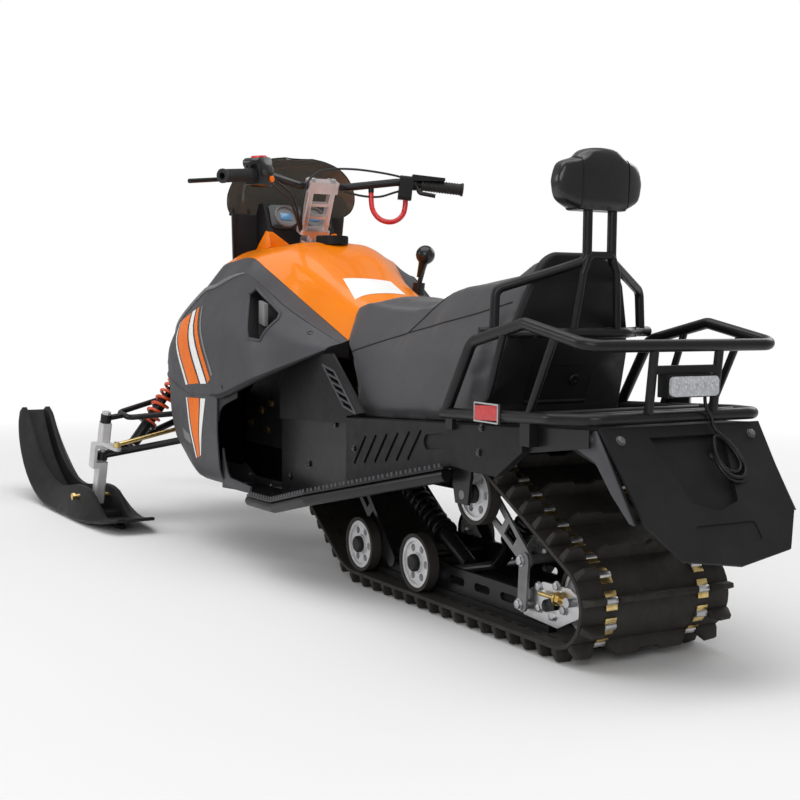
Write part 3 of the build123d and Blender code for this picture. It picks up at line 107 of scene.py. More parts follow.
def objectCoords(nodes, links, stretch=(1, 1, 1)):
    coords = nodes.new("ShaderNodeTexCoord")
    mapping = addNode(nodes, "ShaderNodeMapping", Scale=stretch)
    links.new(coords.outputs["Object"], mapping.inputs["Vector"])
    return mapping.outputs["Vector"]


def texture(nodes, links, kind, vector, **values):
    node = addNode(nodes, "ShaderNodeTex" + kind, **values)
    links.new(vector, node.inputs["Vector"])
    return node


def ramp(nodes, links, source, stops):
    node = nodes.new("ShaderNodeValToRGB")
    for element, (place, colour) in zip(node.color_ramp.elements, stops):
        element.position = place
        element.color = (*colour, 1)
    links.new(source, node.inputs["Fac"])
    return node.outputs["Color"]


def addBump(nodes, links, shader, height, strength, depth):
    bump = addNode(nodes, "ShaderNodeBump", Strength=strength, Distance=depth)
    links.new(height, bump.inputs["Height"])
    links.new(bump.outputs["Normal"], shader.inputs["Normal"])


def grey(value):
    return (value, value, value)


# tone: scale of the slow colour drift; slot: the record's finish
# grain: texture, scale, strength and depth in metres
finishes = {
    "orangeGloss": {"slot": "orange_gloss", "dark": (0.84, 0.200, 0.002), "light": (0.92, 0.240, 0.004),
                    "tone": 5, "rough": (0.26, 0.34), "grain": ("noise", 420, 0.03, 0.0004), "coat": 0.3,
                    "coatRough": 0.04, "specular": 0.2},
    "greyMoulding": {"slot": "grey_moulding", "dark": (0.042, 0.041, 0.047), "light": (0.054, 0.053, 0.060),
                     "tone": 6, "rough": (0.40, 0.52), "grain": ("voronoi", 900, 0.10, 0.0004)},
    "blackMoulding": {"slot": "black_moulding", "dark": (0.008, 0.008, 0.009),
                      "light": (0.014, 0.014, 0.015), "tone": 8, "rough": (0.42, 0.58),
                      "grain": ("voronoi", 1100, 0.12, 0.0004), "specular": 0.22},
    # near-black with little gloss, for the sheets that close the engine bay and the hollow under the tank's
    # rear: painted shade standing in for their dark insides
    "paintedShadeBlack": {"slot": "black_moulding", "dark": (0.002, 0.002, 0.002), "light": (0.005, 0.005, 0.005),
                 "tone": 8, "rough": (0.62, 0.78), "grain": ("noise", 300, 0.10, 0.0004), "specular": 0.05},
    "blackGloss": {"slot": "black_moulding", "dark": (0.008, 0.008, 0.009), "light": (0.013, 0.013, 0.014),
                   "tone": 9, "rough": (0.20, 0.30), "grain": ("noise", 500, 0.03, 0.0003), "coat": 0.3,
                   "coatRough": 0.08, "specular": 0.3},
    "blackTube": {"slot": "black_tube", "dark": (0.006, 0.006, 0.007), "light": (0.010, 0.010, 0.011),
                  "tone": 12, "rough": (0.28, 0.40), "grain": ("noise", 700, 0.06, 0.0004), "coat": 0.1,
                  "coatRough": 0.15, "specular": 0.25},
    "bareAluminium": {"slot": "bare_aluminium", "dark": (0.52, 0.52, 0.53), "light": (0.68, 0.68, 0.69),
                      "tone": 18, "metal": 1.0, "rough": (0.28, 0.42),
                      "grain": ("brushed", 260, 0.08, 0.0003)},
    "castSilver": {"slot": "bare_aluminium", "dark": (0.55, 0.55, 0.56), "light": (0.66, 0.66, 0.67),
                   "tone": 30, "metal": 0.35, "rough": (0.38, 0.50), "grain": ("noise", 600, 0.12, 0.0004)},
    "warmAluminium": {"slot": "bare_aluminium", "dark": (0.58, 0.48, 0.47), "light": (0.72, 0.63, 0.62),
                      "tone": 22, "metal": 0.8, "rough": (0.30, 0.42),
                      "grain": ("brushed", 260, 0.06, 0.0003)},
    "armGrey": {"slot": "bare_aluminium", "dark": (0.16, 0.16, 0.165), "light": (0.24, 0.24, 0.245),
                "tone": 16, "metal": 0.7, "rough": (0.34, 0.48), "grain": ("noise", 420, 0.10, 0.0004)},
    "steel": {"slot": "steel", "dark": (0.40, 0.40, 0.41), "light": (0.56, 0.56, 0.57), "tone": 25,
              "metal": 1.0, "rough": (0.30, 0.45), "grain": ("brushed", 300, 0.06, 0.0003)},
    "rubber": {"slot": "rubber", "dark": (0.013, 0.011, 0.009), "light": (0.030, 0.026, 0.022), "tone": 14,
               "rough": (0.62, 0.82), "grain": ("noise", 520, 0.18, 0.0006)},
    "gripRubber": {"slot": "rubber", "dark": (0.012, 0.012, 0.012), "light": (0.020, 0.020, 0.020),
                   "tone": 20, "rough": (0.50, 0.64), "grain": ("voronoi", 800, 0.20, 0.0005)},
    "seatCover": {"slot": "seat_cover", "dark": (0.036, 0.036, 0.040), "light": (0.049, 0.049, 0.054),
                  "tone": 7, "rough": (0.40, 0.52), "grain": ("voronoi", 620, 0.22, 0.0005), "sheen": 0.12},
    "redReflector": {"slot": "red_reflector", "dark": (0.42, 0.012, 0.016), "light": (0.66, 0.03, 0.03),
                     "tone": 160, "rough": (0.08, 0.16), "grain": ("voronoi", 420, 0.35, 0.0006),
                     "coat": 0.8, "coatRough": 0.05},
    "springRed": {"slot": "spring_red", "dark": (0.62, 0.060, 0.015), "light": (0.76, 0.095, 0.024),
                  "tone": 30, "rough": (0.28, 0.36), "grain": ("noise", 600, 0.05, 0.0004), "coat": 0.4,
                  "coatRough": 0.12},
    "goldZinc": {"slot": "gold_zinc", "dark": (0.62, 0.42, 0.14), "light": (0.78, 0.62, 0.30), "tone": 60,
                 "metal": 1.0, "rough": (0.24, 0.36), "grain": ("noise", 500, 0.05, 0.0003)},
    "engineGrey": {"slot": "engine_grey", "dark": (0.020, 0.020, 0.021), "light": (0.034, 0.034, 0.036),
                   "tone": 16, "metal": 0.4, "rough": (0.46, 0.60), "grain": ("noise", 380, 0.25, 0.0006)},
    "whiteVinyl": {"slot": "lens_clear", "dark": (0.82, 0.82, 0.81), "light": (0.88, 0.88, 0.87), "tone": 12,
                   "rough": (0.34, 0.42), "grain": ("noise", 400, 0.03, 0.0002), "specular": 0.2},
    # pale grey for real pale parts, and also for the painted highlight on the panel crease
    "paleGrey": {"slot": "grey_moulding", "dark": (0.16, 0.16, 0.165), "light": (0.21, 0.21, 0.215),
                 "tone": 14, "rough": (0.36, 0.48), "grain": ("voronoi", 900, 0.08, 0.0003)},
    "orangeVinyl": {"slot": "orange_gloss", "dark": (0.80, 0.155, 0.006), "light": (0.88, 0.185, 0.010),
                    "tone": 14, "rough": (0.34, 0.42), "grain": ("noise", 400, 0.03, 0.0002),
                    "specular": 0.15},
    "redCord": {"slot": "red_cord", "dark": (0.55, 0.010, 0.014), "light": (0.72, 0.022, 0.026), "tone": 40,
                "rough": (0.22, 0.30), "grain": ("noise", 500, 0.04, 0.0003), "coat": 0.4, "coatRough": 0.1},
    "blueScreen": {"slot": "lens_clear", "dark": (0.06, 0.20, 0.42), "light": (0.10, 0.30, 0.56), "tone": 30,
                   "rough": (0.10, 0.16), "grain": ("noise", 300, 0.02, 0.0002), "coat": 0.8,
                   "coatRough": 0.04},
}


grainSettings = {"toneStops": (0.32, 0.68), "roughStops": (0.3, 0.7), "smear": 3.1, "brushed": (0.08, 1, 1)}


def makeFinish(name, s):
    mat, nodes, links, shader = newMaterial(name)
    vector = objectCoords(nodes, links)
    drift = texture(nodes, links, "Noise", vector, Scale=s["tone"], Detail=4, Roughness=0.6)
    tones = zip(grainSettings["toneStops"], (s["dark"], s["light"]))
    colour = ramp(nodes, links, drift.outputs["Fac"], list(tones))
    links.new(colour, shader.inputs["Base Color"])
    finer = s["tone"] * grainSettings["smear"]
    smear = texture(nodes, links, "Noise", vector, Scale=finer, Detail=5, Roughness=0.7)
    greys = [grey(value) for value in s["rough"]]
    rough = ramp(nodes, links, smear.outputs["Fac"], list(zip(grainSettings["roughStops"], greys)))
    links.new(rough, shader.inputs["Roughness"])
    kind, scale, strength, depth = s["grain"]
    if kind == "voronoi":
        grain = texture(nodes, links, "Voronoi", vector, feature="SMOOTH_F1", Scale=scale)
        height = grain.outputs["Distance"]
    else:
        run = objectCoords(nodes, links, grainSettings["brushed"]) if kind == "brushed" else vector
        height = texture(nodes, links, "Noise", run, Scale=scale, Detail=3).outputs["Fac"]
    addBump(nodes, links, shader, height, strength, depth)
    setInputs(shader, {"Metallic": s.get("metal", 0), "Coat Weight": s.get("coat", 0),
                       "Coat Roughness": s.get("coatRough", 0.1), "Sheen Weight": s.get("sheen", 0),
                       "Specular IOR Level": s.get("specular", 0.4)})
    return mat


materials = {name: makeFinish(name, s) for name, s in finishes.items()}
slotOf = {name: s["slot"] for name, s in finishes.items()}

glassSettings = {
    "tints": [(0.3, (0.060, 0.052, 0.034)), (0.7, (0.078, 0.068, 0.046))],
    "roughness": [(0.3, grey(0.10)), (0.7, grey(0.16))], "haze": 9,
    "inputs": {"Alpha": 0.86, "Coat Weight": 0.6, "Coat Roughness": 0.05},
}


def makeSmokeGlass(s):
    mat, nodes, links, shader = newMaterial("smokeGlass")
    haze = texture(nodes, links, "Noise", objectCoords(nodes, links), Scale=s["haze"], Detail=4)
    links.new(ramp(nodes, links, haze.outputs["Fac"], s["tints"]), shader.inputs["Base Color"])
    links.new(ramp(nodes, links, haze.outputs["Fac"], s["roughness"]), shader.inputs["Roughness"])
    setInputs(shader, s["inputs"])
    return mat


lensSettings = {
    "tints": [(0.1, (0.90, 0.91, 0.93)), (0.6, (0.62, 0.64, 0.67))], "flutes": 170, "bump": (0.5, 0.001),
    "inputs": {"Roughness": 0.12, "Transmission Weight": 0.35, "Coat Weight": 0.8},
}


def makeLens(s):
    mat, nodes, links, shader = newMaterial("lensClear")
    flutes = texture(nodes, links, "Voronoi", objectCoords(nodes, links), Scale=s["flutes"])
    links.new(ramp(nodes, links, flutes.outputs["Distance"], s["tints"]), shader.inputs["Base Color"])
    addBump(nodes, links, shader, flutes.outputs["Distance"], *s["bump"])
    setInputs(shader, s["inputs"])
    return mat


materials["smokeGlass"] = makeSmokeGlass(glassSettings)
materials["lensClear"] = makeLens(lensSettings)
slotOf.update(smokeGlass="smoke_glass", lensClear="lens_clear")

nodeFinish = {
    "orangeGloss": "tank_cover hood",
    "greyMoulding": "side_panels belly_pan nose_mask",
    "blackMoulding": "dash seat_box box_door snow_flap fuel_cap skid_plate tail_lamp switch_blocks "
                     "ski_left ski_right slide_shoes cowl side_covers foot_wells",
    "blackGloss": "shift_lever",
    "blackTube": "rear_rack backrest_frame front_bumper upper_arms lower_arms upper_frame running_boards "
                 "tunnel slide_rails idler_brackets front_arm shocks handlebar front_frame levers",
    "bareAluminium": "rail_end_plates",
    "castSilver": "knuckle_left knuckle_right wheel_rims",
    "warmAluminium": "riser",
    "armGrey": "rear_arm",
    "steel": "wheel_axles drive_axle steering_bearing",
    "rubber": "track wheel_tyres lamp_lead lead_hank",
    "gripRubber": "grips",
    "seatCover": "seat headrest",
    "smokeGlass": "windshield",
    "lensClear": "headlamps tail_lens",
    "redReflector": "reflectors",
    "springRed": "springs",
    "goldZinc": "tie_rod_left tie_rod_right",
    "engineGrey": "engine",
    "redCord": "tether",
}
for finishName, nodeNames in nodeFinish.items():
    for nodeName in nodeNames.split():
        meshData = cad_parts[nodeName].data
        meshData.materials.clear()
        meshData.materials.append(materials[finishName])
print("finishes assigned:", len(materials))


def link(obj):
    bpy.context.scene.collection.objects.link(obj)
    return obj


def plainMesh(obj):  # the evaluated shape, with its modifiers applied
    bpy.context.view_layer.update()
    depsgraph = bpy.context.evaluated_depsgraph_get()
    mesh = bpy.data.meshes.new_from_object(obj.evaluated_get(depsgraph))
    obj.modifiers.clear()
    old = obj.data
    obj.data = mesh
    bpy.data.meshes.remove(old)
    return obj


def bare(name, verts, faces):
    mesh = bpy.data.meshes.new(name)
    mesh.from_pydata([tuple(v) for v in verts], [], faces)
    mesh.validate()
    return link(bpy.data.objects.new(name, mesh))


def dress(obj, finish, body="chassis", sharp=35):
    mesh = obj.data
    mesh.materials.clear()
    mesh.materials.append(materials[finish])
    mesh.polygons.foreach_set("material_index", [0] * len(mesh.polygons))
    if sharp:
        mesh.shade_smooth()
        mesh.set_sharp_from_angle(angle=radians(sharp))
    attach(obj, body)
    return obj


def spline(points, steps):  # smooth line through the points, spaced by chord
    times = [0.0]
    for a, b in zip(points, points[1:]):
        times.append(times[-1] + max((b - a).length, 1e-6))
    last = len(points) - 1
    slopes = []
    for i in range(last + 1):
        low, high = max(i - 1, 0), min(i + 1, last)
        slopes.append((points[high] - points[low]) / (times[high] - times[low]))
    line = []
    for i in range(last):
        gap = times[i + 1] - times[i]
        for k in range(steps):
            t = k / steps
            leaving = slopes[i] * (gap * (t ** 3 - 2 * t ** 2 + t))
            arriving = slopes[i + 1] * (gap * (t ** 3 - t ** 2))
            place = points[i] * (2 * t ** 3 - 3 * t ** 2 + 1) + leaving
            line.append(place + points[i + 1] * (3 * t ** 2 - 2 * t ** 3) + arriving)
    return line + [points[-1].copy()]


def straight(points, steps):
    line = []
    for a, b in zip(points, points[1:]):
        line += [a.lerp(b, k / steps) for k in range(steps)]
    return line + [points[-1].copy()]


def gridFaces(rows, columns, start=0, closed=False, flip=False):
    faces = []
    for i in range(rows - 1):
        for j in range(columns if closed else columns - 1):
            k = (j + 1) % columns
            face = (start + i * columns + j, start + i * columns + k,
                    start + (i + 1) * columns + k, start + (i + 1) * columns + j)
            faces.append(face[::-1] if flip else face)
    return faces


def skin(rows, closed=False, flip=False):
    verts = [v for row in rows for v in row]
    return verts, gridFaces(len(rows), len(rows[0]), 0, closed, flip)


def together(*shapes):
    verts, faces = [], []
    for shapeVerts, shapeFaces in shapes:
        start = len(verts)
        verts += shapeVerts
        faces += [tuple(start + i for i in face) for face in shapeFaces]
    return verts, faces


def flipped(point):
    return Vector((point.x, -point.y, point.z))


def mirrorShape(shape):
    verts, faces = shape
    return [flipped(v) for v in verts], [tuple(reversed(face)) for face in faces]


def bothSides(shape):
    return together(shape, mirrorShape(shape))


def turnSteps(count):  # cosine and sine at each step of a full turn
    return [(cos(2 * pi * k / count), sin(2 * pi * k / count)) for k in range(count)]


def tubeShape(points, radius, sides=12, closed=False):
    points = [Vector(p) for p in points]
    count = len(points)
    radii = radius if isinstance(radius, list) else [radius] * count
    aheads = []
    for i in range(count):
        low = points[(i - 1) % count] if closed else points[max(i - 1, 0)]
        high = points[(i + 1) % count] if closed else points[min(i + 1, count - 1)]
        aheads.append((high - low).normalized())
    side = aheads[0].orthogonal().normalized()
    verts = []
    for i in range(count):
        if i:
            side = aheads[i - 1].rotation_difference(aheads[i]) @ side
        up = aheads[i].cross(side)
        verts += [points[i] + (side * c + up * s) * radii[i] for c, s in turnSteps(sides)]
    faces = gridFaces(count, sides, 0, True)
    last = (count - 1) * sides
    if closed:
        faces += [(last + j, last + (j + 1) % sides, (j + 1) % sides, j) for j in range(sides)]
    else:
        faces += [tuple(reversed(range(sides))), tuple(range(last, last + sides))]
    return verts, faces


def latheShape(profile, place=(0, 0, 0), axis=(0, 0, 1), sides=24):
    # profile: radius and height from one end to the other
    axis = Vector(axis).normalized()
    side = axis.orthogonal().normalized()
    up = axis.cross(side)
    verts = []
    for radius, height in profile:
        middle = Vector(place) + axis * height
        verts += [middle + (side * c + up * s) * max(radius, 1e-5) for c, s in turnSteps(sides)]
    faces = gridFaces(len(profile), sides, 0, True)
    faces += [tuple(reversed(range(sides))), tuple(range(len(verts) - sides, len(verts)))]
    return verts, faces


def prismShape(outline, low, high, place):  # outline in two numbers, place(a, b, h) gives the point
    count = len(outline)
    verts = [place(a, b, low) for a, b in outline] + [place(a, b, high) for a, b in outline]
    faces = [tuple(reversed(range(count))), tuple(range(count, 2 * count))]
    faces += [(i, (i + 1) % count, count + (i + 1) % count, count + i) for i in range(count)]
    return verts, faces


def sidePlace(a, b, h):  # outline in x and z in millimetres, thickness along y in metres
    return Vector((fromAxle(a, 0, 0).x, h, b / 1000))


def crossPlace(a, b, h):  # outline in y and z, thickness along x, all in millimetres
    return fromAxle(h, a, b)


def boxOutline(lowA, lowB, highA, highB):
    return [(lowA, lowB), (highA, lowB), (highA, highB), (lowA, highB)]


def flatPlace(a, b, h):  # a small piece in metres, thickness upwards
    return Vector((a, b, h))


def uprightPlace(a, b, h):  # a small piece in metres, thickness along y
    return Vector((a, h, b))


def outward(obj):
    work = bmesh.new()
    work.from_mesh(obj.data)
    bmesh.ops.remove_doubles(work, verts=work.verts, dist=1e-6)
    bmesh.ops.recalc_face_normals(work, faces=work.faces)
    work.to_mesh(obj.data)
    work.free()
    return obj


def bevelled(obj, width, segments=2, angle=30):
    bevel = obj.modifiers.new("edge", "BEVEL")
    bevel.width = width
    bevel.segments = segments
    bevel.limit_method = "ANGLE"
    bevel.angle_limit = radians(angle)
    return plainMesh(obj)


def walled(obj, thickness):
    wall = obj.modifiers.new("wall", "SOLIDIFY")
    wall.thickness = thickness
    wall.offset = -1
    return plainMesh(obj)


def booleaned(obj, other, operation):
    change = obj.modifiers.new("change", "BOOLEAN")
    change.operation = operation
    change.object = other
    change.solver = "EXACT"
    plainMesh(obj)
    bpy.data.objects.remove(other)
    return obj


def nodeCopy(nodeName, name):  # the node's mesh with its place in it, as a new object
    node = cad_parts[nodeName]
    mesh = node.data.copy()
    mesh.transform(node.matrix_world)
    return link(bpy.data.objects.new(name, mesh))


def addPiece(name, shape, finish, body="chassis", bevel=0, wall=0, sharp=35):
    obj = bare(name, *shape)
    if wall:
        walled(obj, wall)
    else:
        outward(obj)
    if bevel:
        bevelled(obj, bevel)
    return dress(obj, finish, body, sharp)


def makeRepeatTree():
    tree = bpy.data.node_groups.new("repeatPiece", "GeometryNodeTree")
    sockets = {}
    kinds = {"Spots": "Geometry", "Piece": "Object", "Size": "Float", "Finish": "Material"}
    for label, kind in kinds.items():
        socket = tree.interface.new_socket(name=label, in_out="INPUT", socket_type="NodeSocket" + kind)
        sockets[label] = socket.identifier
    tree.interface.new_socket(name="Pieces", in_out="OUTPUT", socket_type="NodeSocketGeometry")
    nodes, links = tree.nodes, tree.links
    start, end = nodes.new("NodeGroupInput"), nodes.new("NodeGroupOutput")
    toPoints = nodes.new("GeometryNodeMeshToPoints")
    piece = nodes.new("GeometryNodeObjectInfo")
    turn = addNode(nodes, "GeometryNodeInputNamedAttribute", data_type="QUATERNION")
    turn.inputs["Name"].default_value = "turn"
    stretch = addNode(nodes, "GeometryNodeInputNamedAttribute", data_type="FLOAT_VECTOR")
    stretch.inputs["Name"].default_value = "stretch"
    sized = addNode(nodes, "ShaderNodeVectorMath", operation="SCALE")
    onPoints = nodes.new("GeometryNodeInstanceOnPoints")
    realize = nodes.new("GeometryNodeRealizeInstances")
    finish = nodes.new("GeometryNodeSetMaterial")
    links.new(start.outputs["Spots"], toPoints.inputs["Mesh"])
    links.new(start.outputs["Piece"], piece.inputs["Object"])
    links.new(toPoints.outputs["Points"], onPoints.inputs["Points"])
    links.new(piece.outputs["Geometry"], onPoints.inputs["Instance"])
    links.new(turn.outputs["Attribute"], onPoints.inputs["Rotation"])
    links.new(stretch.outputs["Attribute"], sized.inputs[0])
    links.new(start.outputs["Size"], sized.inputs["Scale"])
    links.new(sized.outputs[0], onPoints.inputs["Scale"])
    links.new(onPoints.outputs["Instances"], realize.inputs["Geometry"])
    links.new(realize.outputs["Geometry"], finish.inputs["Geometry"])
    links.new(start.outputs["Finish"], finish.inputs["Material"])
    links.new(finish.outputs["Geometry"], end.inputs["Pieces"])
    return tree, sockets


repeatTree, repeatSockets = makeRepeatTree()


def aimed(axis, across=None):  # turn that points a piece's Z along axis and its X along across
    axis = Vector(axis).normalized()
    across = Vector(across) if across is not None else axis.orthogonal()
    across = (across - axis * across.dot(axis)).normalized()
    return Matrix((across, axis.cross(across), axis)).transposed().to_quaternion()


def repeatPiece(name, spots, shape, finish, body="chassis", size=1.0, bevel=0, sharp=35):
    # spots: place, turn and optional stretch of each copy of the shape
    source = outward(bare(name + "Shape", *shape))
    if bevel:
        bevelled(source, bevel)
    points = bpy.data.meshes.new(name)
    points.from_pydata([tuple(spot[0]) for spot in spots], [], [])
    turns = points.attributes.new("turn", "QUATERNION", "POINT")
    turns.data.foreach_set("value", [v for spot in spots for v in spot[1]])
    stretches = points.attributes.new("stretch", "FLOAT_VECTOR", "POINT")
    amounts = [spot[2] if len(spot) > 2 else (1, 1, 1) for spot in spots]
    stretches.data.foreach_set("vector", [v for amount in amounts for v in amount])
    obj = link(bpy.data.objects.new(name, points))
    modifier = obj.modifiers.new("repeat", "NODES")
    modifier.node_group = repeatTree
    modifier[repeatSockets["Piece"]] = source
    modifier[repeatSockets["Size"]] = size
    modifier[repeatSockets["Finish"]] = materials[finish]
    plainMesh(obj)
    bpy.data.objects.remove(source)
    return dress(obj, finish, body, sharp)


def aimedAll(spots):  # spots of place and axis as places and turns
    return [(place, aimed(axis)) for place, axis in spots]


def hexHead(across, height):  # a bolt head on its washer, standing on z = 0
    washer = latheShape([(across * 0.72, -0.001), (across * 0.72, height * 0.22)], sides=14)
    corner = across / 2 * 1.1547
    head = latheShape([(corner, height * 0.1), (corner, height * 0.85), (across * 0.44, height)], sides=6)
    return together(washer, head)


def domeHead(radius, height):  # a round screw head with a drive recess
    return latheShape([(radius, -0.001), (radius, height * 0.35), (radius * 0.8, height * 0.8),
                       (radius * 0.45, height), (radius * 0.4, height * 0.6)], sides=12)


def treeOf(*objs):
    verts, faces = [], []
    for obj in objs:
        start = len(verts)
        verts += [v.co.copy() for v in obj.data.vertices]
        faces += [tuple(start + i for i in p.vertices) for p in obj.data.polygons]
    return BVHTree.FromPolygons(verts, faces)


# the body's stations: x, then crown, brow, seam, crease, flank and hem as y, z
bodySettings = {
    "rows": [
        (925, 50, 706, 108, 682, 150, 606, 172, 598, 206, 590, 220, 580),
        (1100, 70, 775, 122, 754, 170, 688, 226, 680, 298, 612, 326, 500),
        (1287, 86, 862, 148, 840, 210, 791, 262, 774, 326, 640, 342, 445),
        (1348, 92, 862, 156, 848, 223, 821, 272, 772, 330, 635, 341.4, 442.1),
        (1475, 95, 855, 165, 842, 228, 812, 280, 742, 336, 610, 340, 436),
        (1540, 95, 850, 168, 836, 230, 800, 282, 732, 335, 600, 338, 433),
        (1770, 95, 742, 168, 728, 225, 680, 270, 640, 305, 560, 308, 470),
        (2050, 80, 640, 126, 628, 160, 600, 178, 570, 188, 520, 190, 484),
        (2200, 60, 585, 95, 575, 125, 555, 140, 535, 146, 510, 148, 488),
    ],
    "splitRow": 4, "alongSteps": 6, "acrossSteps": 5, "wall": 0.004, "seamGap": 0.0012,
    # the pale lip on the crease from step 14 forwards is a painted highlight
    "creaseHighlightFrom": 14, "creaseHighlightRadius": 0.006, "tailRadius": 0.003, "hemTo": 19, "hemRadius": 0.008,
    "vent": [(1236, 736), (1250, 720), (1168, 604), (1114, 600), (1107, 656), (1118, 672)],
    "ventDepth": 0.034, "ventFrame": 0.0045, "ventReach": (0.2, 0.4), "ventSteps": 6, "ventDrop": 0.006,
    "ventBlock": (1152, 1188, 636, 704), "ventBlockIn": 0.003, "ventBlockDeep": 0.012, "ventBlockSlant": 8,
    "upperSteps": 4, "hemLift": 0.0005, "lipEnd": 0.3, "lipGrowth": 0.1,
}


def stationLines(rows, steps):  # a line along the body through each of the stations' points
    count = len(rows[0]) // 2
    return [spline([fromAxle(row[0], row[1 + 2 * c], row[2 + 2 * c]) for row in rows], steps)
            for c in range(count)]


def makeBody(s):
    lines = stationLines(s["rows"], s["alongSteps"])
    topRows, sideRows = [], []
    for crown, brow, seam, crease, flank, hem in zip(*lines):
        left = [crown, brow, seam]
        topRows.append(spline([flipped(p) for p in reversed(left)] + left, s["acrossSteps"]))
        away = (crease - seam).normalized() * s["seamGap"]
        upper = straight([seam + away, crease], s["upperSteps"])
        sideRows.append(upper[:-1] + spline([crease, flank, hem], s["acrossSteps"]))
    split = s["splitRow"] * s["alongSteps"]
    tank = addPiece("tankCover", skin(topRows[:split + 1], flip=True), "orangeGloss", wall=s["wall"])
    hoodRows = [[p + Vector((s["seamGap"], 0, 0)) for p in topRows[split]]] + topRows[split + 1:]
    hood = addPiece("hoodCover", skin(hoodRows, flip=True), "orangeGloss", wall=s["wall"])
    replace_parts(tank, "tank_cover")
    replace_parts(hood, "hood")

    panels = walled(bare("sidePanels", *bothSides(skin(sideRows, flip=True))), s["wall"])
    plain = treeOf(panels)
    near, far = s["ventReach"]
    cutters = [prismShape(s["vent"], side * near, side * far, sidePlace) for side in (1, -1)]
    booleaned(panels, outward(bare("ventCutter", *together(*cutters))), "DIFFERENCE")
    dress(panels, "greyMoulding")
    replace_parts(panels, "side_panels")

    creaseLine, hemLine = lines[3], [p + Vector((0, 0, s["hemLift"])) for p in lines[5]]
    # the pale grey lip on the front part of the crease is a painted highlight where light catches the crease;
    # the rear part gets a thin grey tail
    for name, line, radius, finish in (
        ("creaseLips", creaseLine[s["creaseHighlightFrom"]:], s["creaseHighlightRadius"], "paleGrey"),
        ("creaseTails", creaseLine[:s["creaseHighlightFrom"] + 1], s["tailRadius"], "greyMoulding"),
        ("hemLips", hemLine[:s["hemTo"] + 1], s["hemRadius"], "blackMoulding"),
        ("hemTails", hemLine[s["hemTo"]:], s["tailRadius"], "greyMoulding"),
    ):
        last = len(line) - 1
        fromEnd = [min(i, last - i) for i in range(last + 1)]
        taper = [radius * min(1.0, s["lipEnd"] + i * s["lipGrowth"]) for i in fromEnd]
        addPiece(name, bothSides(tubeShape(line, taper, 8)), finish)
    return tank, plain


def onSide(tree, x, z, lift=0.0, side=1):  # point of the left or right skin at x and height z
    hit, normal, _, _ = tree.ray_cast(sidePlace(x, z, side * 0.7), Vector((0, -side, 0)))
    if hit is None:
        return None, None
    if normal.y * side < 0:
        normal = -normal
    return hit + normal * lift, normal


tankCover, sideTree = makeBody(bodySettings)


def patchRows(corners, steps, place):  # rows of points between four corners, each made by place(a, b)
    (ax, az), (bx, bz), (cx, cz), (dx, dz) = corners
    rows = []
    for i in range(steps[0] + 1):
        u = i / steps[0]
        row = []
        for j in range(steps[1] + 1):
            v = j / steps[1]
            row.append(place((ax * (1 - v) + bx * v) * (1 - u) + (dx * (1 - v) + cx * v) * u,
                             (az * (1 - v) + bz * v) * (1 - u) + (dz * (1 - v) + cz * v) * u))
        rows.append(row)
    return rows


def patchOn(tree, corners, lift, steps, side=1):  # thin sheet on the side skin between four corners (x, z)
    verts, faces = skin(patchRows(corners, steps, lambda x, z: onSide(tree, x, z, lift, side)[0]))
    keep = {i: k for k, i in enumerate(i for i, v in enumerate(verts) if v is not None)}
    return ([v for v in verts if v is not None],
            [tuple(keep[i] for i in face) for face in faces if all(i in keep for i in face)])


def makeVents(s):
    frames, backs, blocks = [], [], []
    corners = s["vent"]
    rear, front, low, high = s["ventBlock"]
    for side in (1, -1):
        rim = []
        for (ax, az), (bx, bz) in zip(corners, corners[1:] + corners[:1]):
            for k in range(s["ventSteps"]):
                x, z = ax + (bx - ax) * k / s["ventSteps"], az + (bz - az) * k / s["ventSteps"]
                rim.append(onSide(sideTree, x, z, 0.0, side)[0])
        frames.append(tubeShape(rim, s["ventFrame"], 8, closed=True))
        count = len(rim)
        deeper = Vector((0, -side * s["ventDepth"], -s["ventDrop"]))
        verts = rim + [p + deeper for p in rim] + [sum(rim, Vector()) / count + deeper]
        faces = [(i, (i + 1) % count, count + (i + 1) % count, count + i) for i in range(count)]
        faces += [(count + i, count + (i + 1) % count, count * 2) for i in range(count)]
        backs.append((verts, faces))
        y = onSide(sideTree, (rear + front) / 2, (low + high) / 2, 0.0, side)[0].y
        reach = sorted((y - side * s["ventBlockIn"], y - side * (s["ventBlockIn"] + s["ventBlockDeep"])))
        slant = s["ventBlockSlant"]
        outline = [(rear, low), (front, low + slant), (front, high), (rear, high - slant)]
        blocks.append(prismShape(outline, *reach, sidePlace))
    addPiece("ventFrames", together(*frames), "greyMoulding")
    addPiece("ventBacks", together(*backs), "blackMoulding", sharp=0)
    addPiece("ventBlocks", together(*blocks), "paleGrey", bevel=0.002)


makeVents(bodySettings)
print("body skins made")

bellySettings = {
    "rows": [  # x, then rim, wall, chine and keel as y, z
        (1322, 341.6, 442.7, 339, 300, 316, 205, 190, 178),
        (1475, 340, 435.4, 337, 300, 312, 202, 190, 176),
        (1540, 338, 432.4, 334, 302, 306, 204, 185, 178),
        (1760, 309.3, 467.8, 300, 345, 268, 262, 150, 240),
    ],
    "alongSteps": 8, "acrossSteps": 6, "wall": 0.004,
    "sill": [(1336, 300), (1324, 268), (1306, 236), (1288, 222), (1150, 214), (1150, 199), (1336, 188)],
    "sillSides": (0.312, 0.320), "sillEdge": 0.0025,
    # the bay's wall and bulkhead outlines are for dark sheets of painted shade inside the bay
    "bayShadeWall": [(1172, 214), (1340, 188), (1540, 186), (1740, 262), (1740, 440), (1340, 440), (1172, 480)],
    "bayShadeWallSides": (0.120, 0.123),
    "arch": [(1335, 446), (1324, 372), (1314, 400), (1292, 417), (1250, 431), (1195, 446),
             (1195, 466), (1240, 458)],
    "archSides": (0.333, 0.337),
    "shadeBulkhead": [(118, 205), (288, 245), (298, 440), (118, 440)], "shadeBulkheadAt": (1640, 1643),
}


